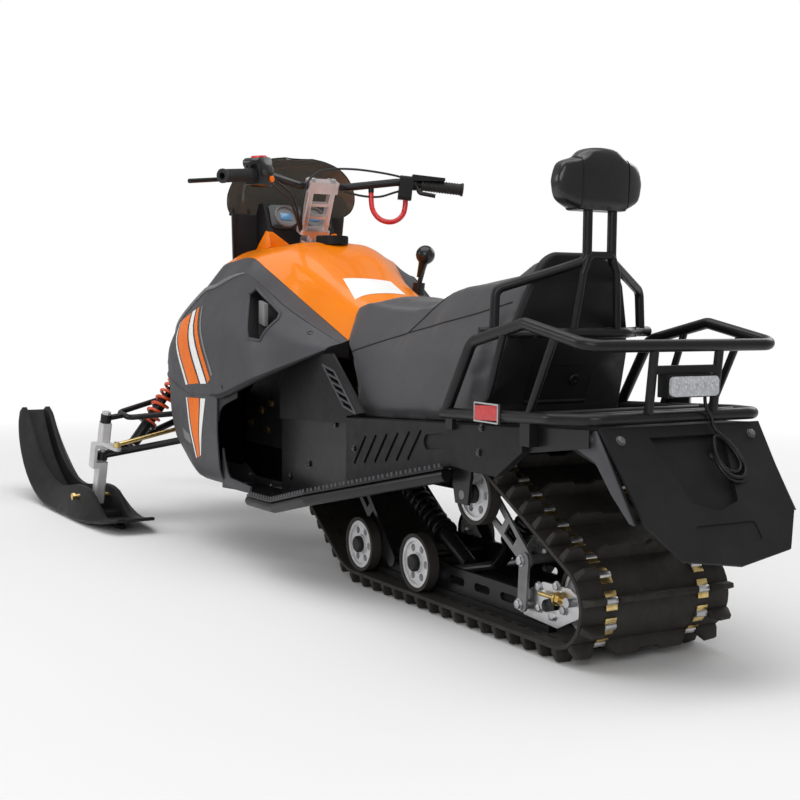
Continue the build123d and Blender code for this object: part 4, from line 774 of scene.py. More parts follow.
def makeBelly(s):
    rows = []
    for left in zip(*stationLines(s["rows"], s["alongSteps"])):
        right = [flipped(p) for p in reversed(left)]
        rows.append(spline(left, s["acrossSteps"]) + spline(right, s["acrossSteps"]))
    pan = walled(bare("bellyPan", *skin(rows, flip=True)), s["wall"])
    sill = prismShape(s["sill"], *s["sillSides"], sidePlace)
    plates = bevelled(outward(bare("sillPlates", *bothSides(sill))), s["sillEdge"])
    dress(pan, "greyMoulding")
    dress(plates, "greyMoulding")
    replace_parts(pan, "belly_pan")
    # near-black sheets of painted shade that close the bay, so its inside renders dark
    addPiece("bayWalls", bothSides(prismShape(s["bayShadeWall"], *s["bayShadeWallSides"], sidePlace)), "paintedShadeBlack")
    addPiece("bayBulkheads", bothSides(prismShape(s["shadeBulkhead"], *s["shadeBulkheadAt"], crossPlace)), "paintedShadeBlack")
    addPiece("bayArches", bothSides(prismShape(s["arch"], *s["archSides"], sidePlace)), "blackMoulding")
    return pan


bellyTree = treeOf(makeBelly(bellySettings))

# stripes: finish, then four corners (x, z) on the panel or the pan
stripeSettings = {
    "lift": 0.0008, "steps": (18, 8),
    "panel": [
        ("orangeVinyl", [(1706, 640), (1606, 664), (1452, 470), (1530, 462)]),
        ("whiteVinyl", [(1594, 668), (1560, 676), (1398, 472), (1440, 469)]),
        ("orangeVinyl", [(1548, 678), (1528, 682), (1372, 486), (1388, 474)]),
        ("whiteVinyl", [(1722, 634), (1714, 637), (1540, 461), (1560, 459)]),
        ("paleGrey", [(1512, 684), (1504, 686), (1356, 500), (1364, 494)]),
    ],
    "belly": [
        ("orangeVinyl", [(1540, 424), (1448, 428), (1462, 262), (1478, 256)]),
        ("whiteVinyl", [(1440, 428), (1404, 430), (1450, 268), (1458, 262)]),
        ("whiteVinyl", [(1562, 422), (1548, 424), (1484, 256), (1492, 254)]),
        ("paleGrey", [(1610, 330), (1530, 318), (1516, 292), (1600, 300)]),
    ],
}


def makeStripes(s):
    shapes = {}
    for tree, key in ((sideTree, "panel"), (bellyTree, "belly")):
        for finish, corners in s[key]:
            for side in (1, -1):
                verts, faces = patchOn(tree, corners, s["lift"], s["steps"], side)
                if side < 0:
                    faces = [tuple(reversed(face)) for face in faces]
                shapes.setdefault(finish, []).append((verts, faces))
    for finish, parts in shapes.items():
        obj = bare("stripes" + finish[0].upper() + finish[1:], *together(*parts))
        dress(obj, finish)


makeStripes(stripeSettings)
print("belly pan and stripes made")

screenSettings = {
    "glass": [  # height, then left rear, left front and front points as x, y
        (955.3, [(1594, 184), (1630, 142), (1654, 52)]),
        (976, [(1568, 203), (1616, 146), (1644, 51)]),
        (1012, [(1553, 207), (1598, 140), (1624, 48)]),
        (1060, [(1542, 186), (1580, 120), (1600, 42)]),
        (1094, [(1528, 144), (1558, 92), (1572, 34)]),
        (1112, [(1518, 92), (1536, 60), (1547, 24)]),
        (1119, [(1512, 44), (1522, 30), (1528, 13)]),
    ],
    "cowl": [
        (770, [(1594, 175), (1644, 152), (1696, 72)]),
        (860, [(1587, 181), (1634, 147), (1674, 62)]),
        (957, [(1580, 187), (1622, 140), (1648, 50)]),
    ],
    "wall": 0.0035, "edge": 0.004, "jointDrop": 0.002, "acrossSteps": 6, "glassSteps": 5, "cowlSteps": 3,
    "screws": (4, 9, 15, 21, 26), "screwsRound": 1480, "screwOut": 0.004, "screwUp": 0.012,
    "screw": (0.007, 0.004),
}


def screenRows(table, acrossSteps, upSteps):
    columns = []
    for z, points in table:
        left = [fromAxle(x, y, z) for x, y in points]
        columns.append(spline(left + [flipped(p) for p in reversed(left)], acrossSteps))
    return list(zip(*[spline(list(line), upSteps) for line in zip(*columns)]))


def makeScreen(s):
    glassRows = [list(row) for row in screenRows(s["glass"], s["acrossSteps"], s["glassSteps"])]
    glass = addPiece("screenGlass", skin(glassRows, flip=True), "smokeGlass", wall=s["wall"])
    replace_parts(glass, "windshield")
    cowlRows = [list(row) for row in screenRows(s["cowl"], s["acrossSteps"], s["cowlSteps"])]
    cowl = addPiece("screenCowl", skin(cowlRows, flip=True), "greyMoulding", wall=s["wall"])
    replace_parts(cowl, "cowl")
    rim = [row[0] for row in glassRows] + glassRows[-1][1:-1] + [row[-1] for row in reversed(glassRows)]
    addPiece("screenEdge", tubeShape(rim, s["edge"] / 2, 8), "blackMoulding")
    joint = [p + Vector((0, 0, -s["jointDrop"])) for p in glassRows[0]]
    addPiece("screenJoint", tubeShape(joint, s["edge"], 8), "blackMoulding")
    spots = []
    for j in s["screws"]:
        place = glassRows[0][j]
        ahead = Vector((place.x - fromAxle(s["screwsRound"], 0, 0).x, place.y, 0)).normalized()
        spots.append((place + ahead * s["screwOut"] + Vector((0, 0, s["screwUp"])), aimed(ahead)))
    repeatPiece("screenScrews", spots, domeHead(*s["screw"]), "blackGloss")


makeScreen(screenSettings)
print("screen made")

skiSettings = {
    "middle": 425, "tail": 1797, "flatEnd": 540, "length": 1035, "sole": 8, "tipHeight": 288, "edge": 8,
    "flat": [  # run from the tail, lift, half width, wall top, trough floor
        (-60, 34, 58, 10, 8), (0, 22, 76, 11, 9), (92, 10, 84, 14, 9), (128, 6, 88, 28, 10),
        (235, 0, 92, 88, 12), (345, 0, 92, 96, 12), (540, 0, 92, 70, 12),
    ],
    "upturn": [  # share of the bend, half width, wall top, trough floor
        (0.16, 91, 66, 12), (0.33, 89, 64, 12), (0.5, 86, 63, 12), (0.66, 81, 64, 12),
        (0.8, 74, 66, 12), (0.92, 64, 60, 12), (1.0, 52, 34, 12),
    ],
    "wallIn": 32, "wallOut": 50, "ribs": (168, 204, 420), "bevel": 0.005,
    "draft": 2, "alongSteps": 4, "rib": (10, 40), "ribThick": 6, "keel": (9, 0, 12), "keelRun": (60, 540),
}


def makeSki(s, side, name):
    tail, flatEnd, sole, wallIn = s["tail"], s["flatEnd"], s["sole"], s["wallIn"]
    rise = s["tipHeight"] - sole
    reach = s["length"] - flatEnd
    bend = (reach ** 2 + rise ** 2) / (2 * rise)
    tipTurn = Vector((bend - rise, reach)).angle_signed(Vector((1, 0)))
    places = [(tail + run, sole + lift, 0.0, half, top, low) for run, lift, half, top, low in s["flat"]]
    for share, half, top, low in s["upturn"]:
        turn = abs(tipTurn) * share
        x, z = tail + flatEnd + bend * sin(turn), sole + bend * (1 - cos(turn))
        places.append((x, z, turn, half, top, low))
    rings = []
    for x, z, turn, half, top, low in places:
        out = min(s["wallOut"], half - s["draft"])
        right = [(half, 0), (half, s["edge"]), (out, top), (wallIn + s["draft"], top), (wallIn, low)]
        ring = [(-y, h) for y, h in right] + right[::-1]
        rings.append([fromAxle(x - sin(turn) * h, s["middle"] + y, z + cos(turn) * h) for y, h in ring])
    rows = list(zip(*[spline(list(line), s["alongSteps"]) for line in zip(*rings)]))
    columns = len(rings[0])
    verts, faces = skin([list(row) for row in rows], closed=True)
    faces += [tuple(range(columns)), tuple(reversed(range(len(verts) - columns, len(verts))))]
    shapes = [(verts, faces)]
    thin = s["ribThick"] / 2
    bars = [((wallIn + s["draft"], *s["rib"]), (run - thin, run + thin)) for run in s["ribs"]]
    for (half, low, high), (start, end) in bars + [(s["keel"], s["keelRun"])]:
        outline = boxOutline(s["middle"] - half, low, s["middle"] + half, high)
        shapes.append(prismShape(outline, tail + start, tail + end, crossPlace))
    shape = together(*shapes)
    if side < 0:
        shape = mirrorShape(shape)
    node = name.replace("ski", "ski_").lower()
    ski = addPiece(name, shape, "blackMoulding", node + "_body", bevel=s["bevel"], sharp=40)
    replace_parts(ski, node)


for skiSide, skiName in ((1, "skiLeft"), (-1, "skiRight")):
    makeSki(skiSettings, skiSide, skiName)
print("skis made")


def makeCord(name, points, s, body):
    data = bpy.data.curves.new(name, "CURVE")
    data.dimensions = "3D"
    line = data.splines.new("NURBS")
    line.points.add(len(points) - 1)
    for knot, place in zip(line.points, points):
        knot.co = (*place, 1)
    line.order_u = 3
    line.use_endpoint_u = True
    line.resolution_u = s["steps"]
    obj = link(bpy.data.objects.new(name, data))
    bpy.context.view_layer.update()
    path = bpy.data.meshes.new_from_object(obj)
    length = 0
    for a, b in (edge.vertices for edge in path.edges):
        length += (path.vertices[a].co - path.vertices[b].co).length
    bpy.data.meshes.remove(path)
    data.bevel_depth = s["diameter"] / 2
    data.bevel_resolution = 4
    data.use_fill_caps = True
    data.materials.append(materials[s["finish"]])
    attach(obj, body)
    return obj, length


tetherSettings = {
    "finish": "redCord", "diameter": 0.015, "steps": 10,
    "route": [  # from the throttle block down round to the clip on the bar
        (1281, -226.7, 994.3), (1281, -226.7, 966), (1280, -208, 940), (1289, -182, 929),
        (1304, -155, 937), (1320, -142, 960), (1329, -140, 988), (1329, -140, 1015.3),
    ],
}


def makeTether(s):
    points = [fromAxle(*place) for place in s["route"]]
    cord, length = makeCord("tetherCord", points, s, "steering")
    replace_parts(cord, "tether")
    print("tether", round(length, 3), "m")


makeTether(tetherSettings)

leadSettings = {
    "finish": "blackTube", "diameter": 0.007, "steps": 6,
    "route": [(-157, -45, 531.7), (-157, -45, 514), (-161, -56, 496), (-156.5, -67, 478.3),
              (-165.6, -67, 465.5)],
    "flapOrigin": (-140, 0, 474), "flapDown": (-0.577, 0, -0.816), "flapOut": (-0.816, 0, 0.577),
    # each turn: half width, length and height over the flap
    "turns": [(38, 98, 16.4), (33, 84, 13.4), (40, 104, 10.2)],
    "turnTop": 28, "pointsATurn": 16, "lean": -0.09, "start": -67,
    "tail": [(-62, 42, 9), (-56, 56, 3), (-54, 64, -3), (-54, 66, -9)],
    "eye": (-54, 66, -8),
    "eyeRing": [(0.0045, 0.001), (0.008, 0.001), (0.009, 0.004), (0.007, 0.0065), (0.0045, 0.0065)],
}


def onFlap(s, across, down, out):
    place = fromAxle(*s["flapOrigin"]) + Vector((0, across / 1000, 0))
    return place + Vector(s["flapDown"]) * (down / 1000) + Vector(s["flapOut"]) * (out / 1000)


def makeLampLead(s):
    points = [fromAxle(*place) for place in s["route"]]
    heights = [turn[2] for turn in s["turns"]] + [s["turns"][-1][2]]
    for number, (half, reach, _) in enumerate(s["turns"]):
        for k in range(1, s["pointsATurn"]):
            t = k / s["pointsATurn"]
            depth = (1 - cos(2 * pi * t)) / 2
            across = s["start"] + s["lean"] * reach * depth - half * sin(2 * pi * t) * (0.5 + 0.5 * depth)
            out = heights[number] * (1 - t) + heights[number + 1] * t
            points.append(onFlap(s, across, s["turnTop"] + reach * depth, out))
    points += [onFlap(s, *place) for place in s["tail"]]
    cord, length = makeCord("lampLead", points, s, "chassis")
    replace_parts(cord, "lamp_lead", "lead_hank")
    addPiece("leadEye", latheShape(s["eyeRing"], onFlap(s, *s["eye"]), s["flapOut"], 20), "gripRubber")
    print("lamp lead", round(length, 3), "m")


makeLampLead(leadSettings)

springSettings = {
    "front": {"foot": (2050, 330, 229.6), "axis": (0, -0.602, 0.7985), "start": 94.3, "end": 255.7,
              "turns": 7.5, "radius": 24.4, "wire": 5.2, "finish": "springRed"},
    "track": {"foot": (520, 84), "tops": [(905, 298, 36), (302, 297, -36)], "from": 0.3, "to": 0.84,
              "turns": 11, "radius": 25.5, "wire": 5.0, "finish": "blackTube",
              "startGap": 0.0063, "endGap": 0.0003},
    "pointsATurn": 16, "flatTurns": 0.7,
}


def springShape(start, end, turns, radius, wire, pointsATurn, flatTurns):  # its first and last turns lie flat
    axis = (end - start).normalized()
    side = axis.orthogonal().normalized()
    up = axis.cross(side)
    count = int(turns * pointsATurn)
    rise = (end - start).length - 2 * wire / 1000
    line = []
    for i in range(count + 1):
        t = i / count
        climb = min(max((t * turns - flatTurns) / (turns - 2 * flatTurns), 0), 1)
        angle = 2 * pi * turns * t
        around = (side * cos(angle) + up * sin(angle)) * (radius / 1000)
        line.append(start + axis * (wire / 1000 + rise * climb) + around)
    return tubeShape(line, wire / 1000, 8)


def makeSprings(s):
    front, track = s["front"], s["track"]
    foot, axis = fromAxle(*front["foot"]), Vector(front["axis"])
    left = springShape(foot + axis * front["start"] / 1000, foot + axis * front["end"] / 1000, front["turns"],
                       front["radius"], front["wire"], s["pointsATurn"], s["flatTurns"])
    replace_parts(addPiece("frontSprings", bothSides(left), front["finish"]), "springs")
    shapes = []
    footX, footZ = track["foot"]
    for x, z, y in track["tops"]:
        low, high = fromAxle(footX, y, footZ), fromAxle(x, y, z)
        line = (high - low).normalized()
        start = low.lerp(high, track["from"]) + line * track["startGap"]
        end = low.lerp(high, track["to"]) - line * track["endGap"]
        shapes.append(springShape(start, end, track["turns"], track["radius"], track["wire"],
                                  s["pointsATurn"], s["flatTurns"]))
    addPiece("trackSprings", together(*shapes), track["finish"])


makeSprings(springSettings)
print("springs wound")

padSettings = {
    "seat": {"node": "seat", "finish": "seatCover", "voxel": 0.008, "smooth": 18, "slack": 0.003,
             "pressure": 4.0, "cap": 0.010, "fill": 0.85, "held": -0.75},
    "headrest": {"node": "headrest", "finish": "blackGloss", "voxel": 0.005, "smooth": 60,
                 "refit": (0.52, 0.30), "slack": 0.002, "pressure": 4.0, "cap": 0.008, "fill": 0.9,
                 "held": -0.98},
    "frames": 20, "settle": 5, "quality": 5, "mass": 0.3,
}


def refit(obj, thinner, low, high):  # a rounded shape back to its box, thinner at the sides and the top
    places = [v.co for v in obj.data.vertices]
    for axis in range(3):
        least, most = min(p[axis] for p in places), max(p[axis] for p in places)
        for p in places:
            p[axis] = low[axis] + (p[axis] - least) * (high[axis] - low[axis]) / (most - least)
    middle, half = (low + high) / 2, (high - low) / 2
    for p in places:
        side, rise = (p.y - middle.y) / half.y, max(p.z - middle.z, 0) / half.z
        p.x = middle.x + (p.x - middle.x) * (1 - thinner[0] * side ** 2) * (1 - thinner[1] * rise ** 2)


def makePad(name, s):
    obj = nodeCopy(s["node"], name)
    remesh = obj.modifiers.new("remesh", "REMESH")
    remesh.mode = "VOXEL"
    remesh.voxel_size = s["voxel"]
    plainMesh(obj)
    firm = [v.co.copy() for v in obj.data.vertices]
    heldOnes = [v.index for v in obj.data.vertices if v.normal.z < s["held"]]
    rounder = obj.modifiers.new("round", "SMOOTH")
    rounder.iterations = s["smooth"]
    plainMesh(obj)
    if "refit" in s:
        refit(obj, s["refit"], *(Vector(corner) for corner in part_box(s["node"])))
    normals = [v.normal.copy() for v in obj.data.vertices]
    for index, vert in enumerate(obj.data.vertices):
        vert.co -= normals[index] * s["slack"]
    for index in heldOnes:
        obj.data.vertices[index].co = firm[index]
    start = [v.co.copy() for v in obj.data.vertices]
    group = obj.vertex_groups.new(name="held")
    group.add(heldOnes, 1.0, "REPLACE")
    cloth = obj.modifiers.new("fill", "CLOTH")
    cloth.settings.quality = padSettings["quality"]
    cloth.settings.mass = padSettings["mass"]
    cloth.settings.use_pressure = True
    cloth.settings.uniform_pressure_force = s["pressure"]
    cloth.settings.effector_weights.gravity = 0
    cloth.settings.vertex_group_mass = "held"
    cloth.point_cache.frame_start = 1
    cloth.point_cache.frame_end = padSettings["frames"]
    for number in range(1, padSettings["frames"] + 1):
        bpy.context.scene.frame_set(number)
    plainMesh(obj)
    bpy.context.scene.frame_set(1)
    for index, vert in enumerate(obj.data.vertices):
        moved = vert.co - start[index]
        if moved.length > s["cap"]:
            vert.co = start[index] + moved.normalized() * s["cap"]
    settle = obj.modifiers.new("settle", "SMOOTH")
    settle.iterations = padSettings["settle"]
    finer = obj.modifiers.new("finer", "SUBSURF")
    finer.levels = 1
    plainMesh(obj)
    dress(obj, s["finish"], sharp=0)
    obj.data.shade_smooth()
    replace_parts(obj, s["node"])
    print(name, len(obj.data.polygons), "faces")
    return obj


seatPad = makePad("seatPad", padSettings["seat"])
headPad = makePad("headPad", padSettings["headrest"])
seatTree = treeOf(seatPad)
headTree = treeOf(headPad)

seamSettings = {
    "radius": 0.0016, "lift": 0.0002,
    "side": [(908, 570), (751, 603), (617, 633), (486, 657), (339, 684), (240, 708)],
    "step": [(617, 633), (580, 664), (546, 692), (500, 722), (467, 744)],
    "headEdge": 0.060, "steps": 10, "acrossSteps": 20, "loopSteps": 40, "sides": 6, "lookFrom": 1.0,
}


def makeSeams(s):
    shapes = []
    for side in (1, -1):
        for corners in (s["side"], s["step"]):
            line = spline([Vector((x, 0, z)) for x, z in corners], s["steps"])
            places = [onSide(seatTree, p.x, p.z, s["lift"], side)[0] for p in line]
            shapes.append(tubeShape([p for p in places if p is not None], s["radius"], s["sides"]))
    across = [onSide(seatTree, *s["step"][-1], s["lift"], side)[0] for side in (1, -1)]
    top = []
    for k in range(s["acrossSteps"] + 1):
        share = across[0].lerp(across[1], k / s["acrossSteps"])
        hit = seatTree.ray_cast(Vector((share.x, share.y, s["lookFrom"])), Vector((0, 0, -1)))[0]
        top.append(hit if hit is not None else share)
    shapes.append(tubeShape(top, s["radius"], s["sides"]))
    addPiece("seatSeams", together(*shapes), "blackMoulding")
    low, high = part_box("headrest")
    loops = []
    middle = (Vector(low) + Vector(high)) / 2
    for y in (s["headEdge"], -s["headEdge"]):
        centre = Vector((middle.x, y, middle.z))
        loop = []
        for c, d in turnSteps(s["loopSteps"]):
            ray = Vector((c, 0, d))
            hit = headTree.ray_cast(centre, ray)[0]
            if hit is not None:
                loop.append(hit + ray * s["lift"])
        loops.append(tubeShape(loop, s["radius"], s["sides"], closed=True))
    addPiece("headSeams", together(*loops), "blackMoulding")


makeSeams(seamSettings)
print("pads and seams made")

boxSettings = {"corner": 0.036, "cornerSteps": 8, "rim": 0.011, "rimSteps": 4, "proud": 0.0004,
               "flatAngle": 3, "edgeAngle": 25}


def makeSeatBox(s):
    box = nodeCopy("seat_box", "seatBox")
    work = bmesh.new()
    for vert in box.data.vertices:
        work.verts.new(vert.co)
    bmesh.ops.convex_hull(work, input=work.verts)
    bmesh.ops.delete(work, geom=[v for v in work.verts if not v.link_faces], context="VERTS")
    bmesh.ops.dissolve_limit(work, angle_limit=radians(s["flatAngle"]), verts=work.verts, edges=work.edges)
    work.normal_update()

    def edges(fits):
        chosen = []
        for edge in work.edges:
            if len(edge.link_faces) == 2 and edge.calc_face_angle() > radians(s["edgeAngle"]):
                normals = [face.normal for face in edge.link_faces]
                if fits(*normals) or fits(*reversed(normals)):
                    chosen.append(edge)
        return chosen

    tops = edges(lambda a, b: a.z > 0.8 and abs(b.y) > 0.5)
    bmesh.ops.bevel(work, geom=tops, offset=s["corner"], segments=s["cornerSteps"], profile=0.5,
                    affect="EDGES")
    work.normal_update()
    rims = edges(lambda a, b: a.x < -0.8 and b.x > -0.5)
    bmesh.ops.bevel(work, geom=rims, offset=s["rim"], segments=s["rimSteps"], profile=0.5, affect="EDGES")
    work.normal_update()
    for vert in work.verts:
        vert.co += vert.normal * s["proud"]
    hullMesh = bpy.data.meshes.new("boxHull")
    work.to_mesh(hullMesh)
    work.free()
    hull = link(bpy.data.objects.new("boxHull", hullMesh))
    booleaned(box, hull, "INTERSECT")
    dress(box, "blackMoulding")
    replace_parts(box, "seat_box")
    print("seat box", len(box.data.polygons), "faces")


makeSeatBox(boxSettings)


treadSettings = {
    "pulleys": [(0, 118, 88), (815, 188, 158), (1035, 258, 88), (302, 297, 75.5)],  # x, z, outer radius
    "pitch": 52, "root": 17, "tip": 9, "height": 29.5, "lugEdge": 0.0014,
    "edgeLug": [(134, -1), (136, 10), (150, 29.5), (180, 27), (188, 8), (188, -1)],  # y, height
    "wideLug": [(-102, -1), (-98, 14), (-84, 29.5), (-30, 29.5), (-22, 22),
                (22, 22), (30, 29.5), (84, 29.5), (98, 14), (102, -1)],
    "thick": 8, "stepsAPitch": 3, "columns": (-190, -134, -102, 0, 102, 134, 190),
    "clipMiddle": 118, "clipWide": 28, "clipEndShift": 13, "clipEdge": 0.001,
    "clipEndHalf": 0.006, "clipEndHeights": (-0.001, 0.0035),
    "clipBack": [(-0.009, -0.001), (0.009, -0.001), (0.007, 0.005), (0.003, 0.008), (-0.003, 0.008),
                 (-0.007, 0.005)],
    "slotMiddle": 152, "slotHalf": (0.011, 0.004), "slotHeights": (-0.0012, 0.001),
}


def beltRuns(s):  # lines and bends of the belt's outer face, from the rear pulley's lowest point forwards
    pulleys = [(Vector((x, z)), r) for x, z, r in s["pulleys"]]
    normals = []
    for (a, ra), (b, rb) in zip(pulleys, pulleys[1:] + pulleys[:1]):
        ahead = (b - a).normalized()
        lean = (ra - rb) / (b - a).length
        normals.append(ahead * lean + Vector((ahead.y, -ahead.x)) * sqrt(1 - lean ** 2))
    runs = []
    for i, (a, ra) in enumerate(pulleys):
        b, rb = pulleys[(i + 1) % len(pulleys)]
        runs.append(("line", a + normals[i] * ra, b + normals[i] * rb, normals[i]))
        after = normals[(i + 1) % len(pulleys)]
        turn = normals[i].angle_signed(after) * -1
        runs.append(("bend", b, rb, normals[i], turn % (2 * pi)))
    return runs


def runLength(run):
    return (run[2] - run[1]).length if run[0] == "line" else run[2] * run[4]


def onBelt(runs, distance):  # place, outward direction and running direction at a distance along the belt
    for run in runs:
        if distance <= runLength(run):
            break
        distance -= runLength(run)
    if run[0] == "line":
        out = run[3]
        place = run[1] + (run[2] - run[1]).normalized() * distance
    else:
        angle = distance / run[2]
        x, z = run[3]
        out = Vector((x * cos(angle) - z * sin(angle), x * sin(angle) + z * cos(angle)))
        place = run[1] + out * run[2]
    return fromAxle(place.x, 0, place.y), Vector((out.x, 0, out.y)), Vector((-out.y, 0, out.x))


def lugShape(s, outline):  # narrower towards its top
    verts = []
    for which in (-1, 1):
        for y, h in outline:
            share = max(h, 0) / s["height"]
            half = (s["root"] * (1 - share) + s["tip"] * share) / 2000
            verts.append(Vector((which * half, y / 1000, h / 1000)))
    count = len(outline)
    faces = [tuple(range(count)), tuple(reversed(range(count, 2 * count)))]
    faces += [(i, count + i, count + (i + 1) % count, (i + 1) % count) for i in range(count)]
    return verts, faces


def makeTread(s):
    runs = beltRuns(s)
    length = sum(runLength(run) for run in runs)
    count = 2 * round(length / s["pitch"] / 2)
    tips = [v.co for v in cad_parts["track"].data.vertices]
    tips = sorted((p.x - axleX) * 1000 for p in tips if p.z < 0.0005 and p.y > 0.1 and p.x > axleX + 0.02)
    first = (tips[0] + next(t for t in tips if t > tips[0] + 1)) / 2

    rows = []
    across = [Vector((0, y / 1000, 0)) for y in s["columns"]]
    for k in range(count * s["stepsAPitch"]):
        place, out, _ = onBelt(runs, length * k / (count * s["stepsAPitch"]))
        under = place - out * s["thick"] / 1000
        rows.append([place + y for y in across] + [under + y for y in reversed(across)])
    rows.append(rows[0])
    belt = addPiece("trackBelt", skin(rows, closed=True), "rubber")
    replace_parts(belt, "track")

    edge, wide, gold, bright, slots = [], [], [], [], []
    for k in range(count):
        distance = (first + k * length / count) % length
        place, out, ahead = onBelt(runs, distance)
        turn = aimed(out, ahead)
        under = place - out * s["thick"] / 1000
        if k % 2:
            wide.append((place, turn))
        for side in (1, -1):
            edge.append((place, turn, (1, side, 1)))
            middle = Vector((0, side * s["clipMiddle"] / 1000, 0))
            bright.append((place + middle, turn))
            slots.append((under + Vector((0, side * s["slotMiddle"] / 1000, 0)), turn))
            for shift in (-s["clipEndShift"], s["clipEndShift"]):
                spot, spotOut, spotAhead = onBelt(runs, (distance + shift) % length)
                gold.append((spot + middle, aimed(spotOut, spotAhead)))

    repeatPiece("edgeLugs", edge, lugShape(s, s["edgeLug"]), "rubber", bevel=s["lugEdge"])
    repeatPiece("wideLugs", wide, lugShape(s, s["wideLug"]), "rubber", bevel=s["lugEdge"])
    half, endHalf = s["clipWide"] / 2000, s["clipEndHalf"]
    strip = prismShape(boxOutline(-endHalf, -half, endHalf, half), *s["clipEndHeights"], flatPlace)
    repeatPiece("clipEnds", gold, strip, "goldZinc", bevel=s["clipEdge"])
    arch = prismShape(s["clipBack"], -half, half, uprightPlace)
    repeatPiece("clipBacks", bright, arch, "bareAluminium", bevel=s["clipEdge"])
    long, wideHalf = s["slotHalf"]
    slot = prismShape(boxOutline(-long, -wideHalf, long, wideHalf), *s["slotHeights"], flatPlace)
    repeatPiece("beltSlots", slots, slot, "blackMoulding")
    print("belt", round(length / 1000, 3), "m,", count, "rows")


makeTread(treadSettings)


def nodeTree(*names):
    return treeOf(*[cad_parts[name] for name in names])


def mirrored(spots):
    both = []
    for place, axis in spots:
        both += [(place, axis), (flipped(place), flipped(axis))]
    return both


def spotsOn(tree, places, along):  # where lines from the places (mm) along a direction meet the tree
    found = []
    along = Vector(along).normalized()
    for place in places:
        hit, normal, _, _ = tree.ray_cast(fromAxle(*place), along)
        if hit is not None:
            found.append((hit, normal if normal.dot(along) < 0 else -normal))
    return found


boardSettings = {"from": 336, "to": 1126, "pitch": 15, "sides": (344, 222, -2), "lookFrom": 600, "inset": 3,
                 "tooth": (13, 9, 4), "toothFoot": 0.002, "toothTop": 0.16, "toothEdge": 0.0008}


def makeBoardTeeth(s):
    tree = nodeTree("running_boards")
    long, tall, thick = (v / 1000 for v in s["tooth"])
    rim = []
    for x in range(s["from"], s["to"], s["pitch"]):
        for y in range(*s["sides"]):
            found = spotsOn(tree, [(x, y, s["lookFrom"])], (0, 0, -1))
            if found and found[0][1].z > 0.5:
                rim.append((found[0][0] - Vector((0, s["inset"] / 1000, 0)), found[0][1]))
                break
    spots = [(place, aimed(normal, (1, 0, 0))) for place, normal in mirrored(rim)]
    foot, top = -s["toothFoot"], long * s["toothTop"]
    outline = [(-long / 2, foot), (long / 2, foot), (top, tall), (-top, tall)]
    tooth = prismShape(outline, -thick / 2, thick / 2, uprightPlace)
    repeatPiece("boardTeeth", spots, tooth, "greyMoulding", bevel=s["toothEdge"])
    print(len(spots), "board teeth")


makeBoardTeeth(boardSettings)

# bolts: name, node they sit on, places to look from (mm), direction, head's width and height, finish,
# and whether they are on both sides
boltSettings = [
    ("railPlateBolts", "rail_end_plates",
     [(112, 400, 128), (110, 400, 84), (64, 400, 76), (52, 400, 140), (28, 400, 96)],
     (0, -1, 0), 15, 8, "steel", True),
    ("armBolts", "rear_arm", [(154, 400, 176), (158, 400, 66), (158, 400, 84)],
     (0, -1, 0), 17, 9, "steel", True),
    ("coverScrews", "side_covers",
     [(203, 400, 450), (212, 400, 398), (560, 400, 470), (820, 400, 430), (748, 400, 352)],
     (0, -1, 0), 13, 5, "blackGloss", True),
    ("tunnelBolts", "tunnel", [(866, 400, 400), (1010, 400, 285), (1120, 400, 240)],
     (0, -1, 0), 15, 6, "blackGloss", True),
    ("bracketBolts", "idler_brackets", [(302, 400, 297), (286, 400, 382), (268, 400, 404)],
     (0, -1, 0), 15, 8, "goldZinc", True),
    ("flapBolts", "snow_flap", [(-400, -165, 455), (-400, 165, 455)], (1, 0, 0), 14, 6, "armGrey", False),
    ("engineBolts", "engine", [(1487, 400, 384), (1560, 400, 340), (1420, 400, 410), (1450, 400, 330)],
     (0, -1, 0), 18, 9, "goldZinc", True),
]


def makeBolts(table):
    for name, node, places, along, across, height, finish, both in table:
        spots = spotsOn(nodeTree(node), places, along)
        spots = mirrored(spots) if both else spots
        if spots:
            repeatPiece(name, aimedAll(spots), hexHead(across / 1000, height / 1000), finish)
        print(name, len(spots))


makeBolts(boltSettings)

hubSettings = {
    "wheels": [(541, 105.5), (806, 105.5), (302, 297)], "face": 176, "radius": 0.0205, "deep": 0.014,
    "adjuster": (98, 14), "adjusterSide": 151, "adjusterHeight": 118, "rod": 0.0045,
    "nut": 36, "nutSize": (0.012, 0.012), "washer": 40, "washerSize": (0.014, 0.003),
}


def makeHubs(s):
    radius, deep = s["radius"], s["deep"]
    cap = latheShape([(radius, 0), (radius, deep * 0.7), (radius * 0.8, deep), (0, deep)])
    spots = mirrored([(fromAxle(x, s["face"], z), Vector((0, 1, 0))) for x, z in s["wheels"]])
    repeatPiece("hubCaps", aimedAll(spots), cap, "blackMoulding")

    def onRod(x):
        return fromAxle(x, s["adjusterSide"], s["adjusterHeight"])

    shapes = [tubeShape([onRod(x) for x in s["adjuster"]], s["rod"], 12)]
    for key, sides in (("nut", 6), ("washer", 20)):
        wide, thick = s[key + "Size"]
        shapes.append(latheShape([(wide, 0), (wide, thick)], onRod(s[key]), (-1, 0, 0), sides))
    addPiece("beltAdjusters", bothSides(together(*shapes)), "goldZinc")


makeHubs(hubSettings)
print("running gear dressed")

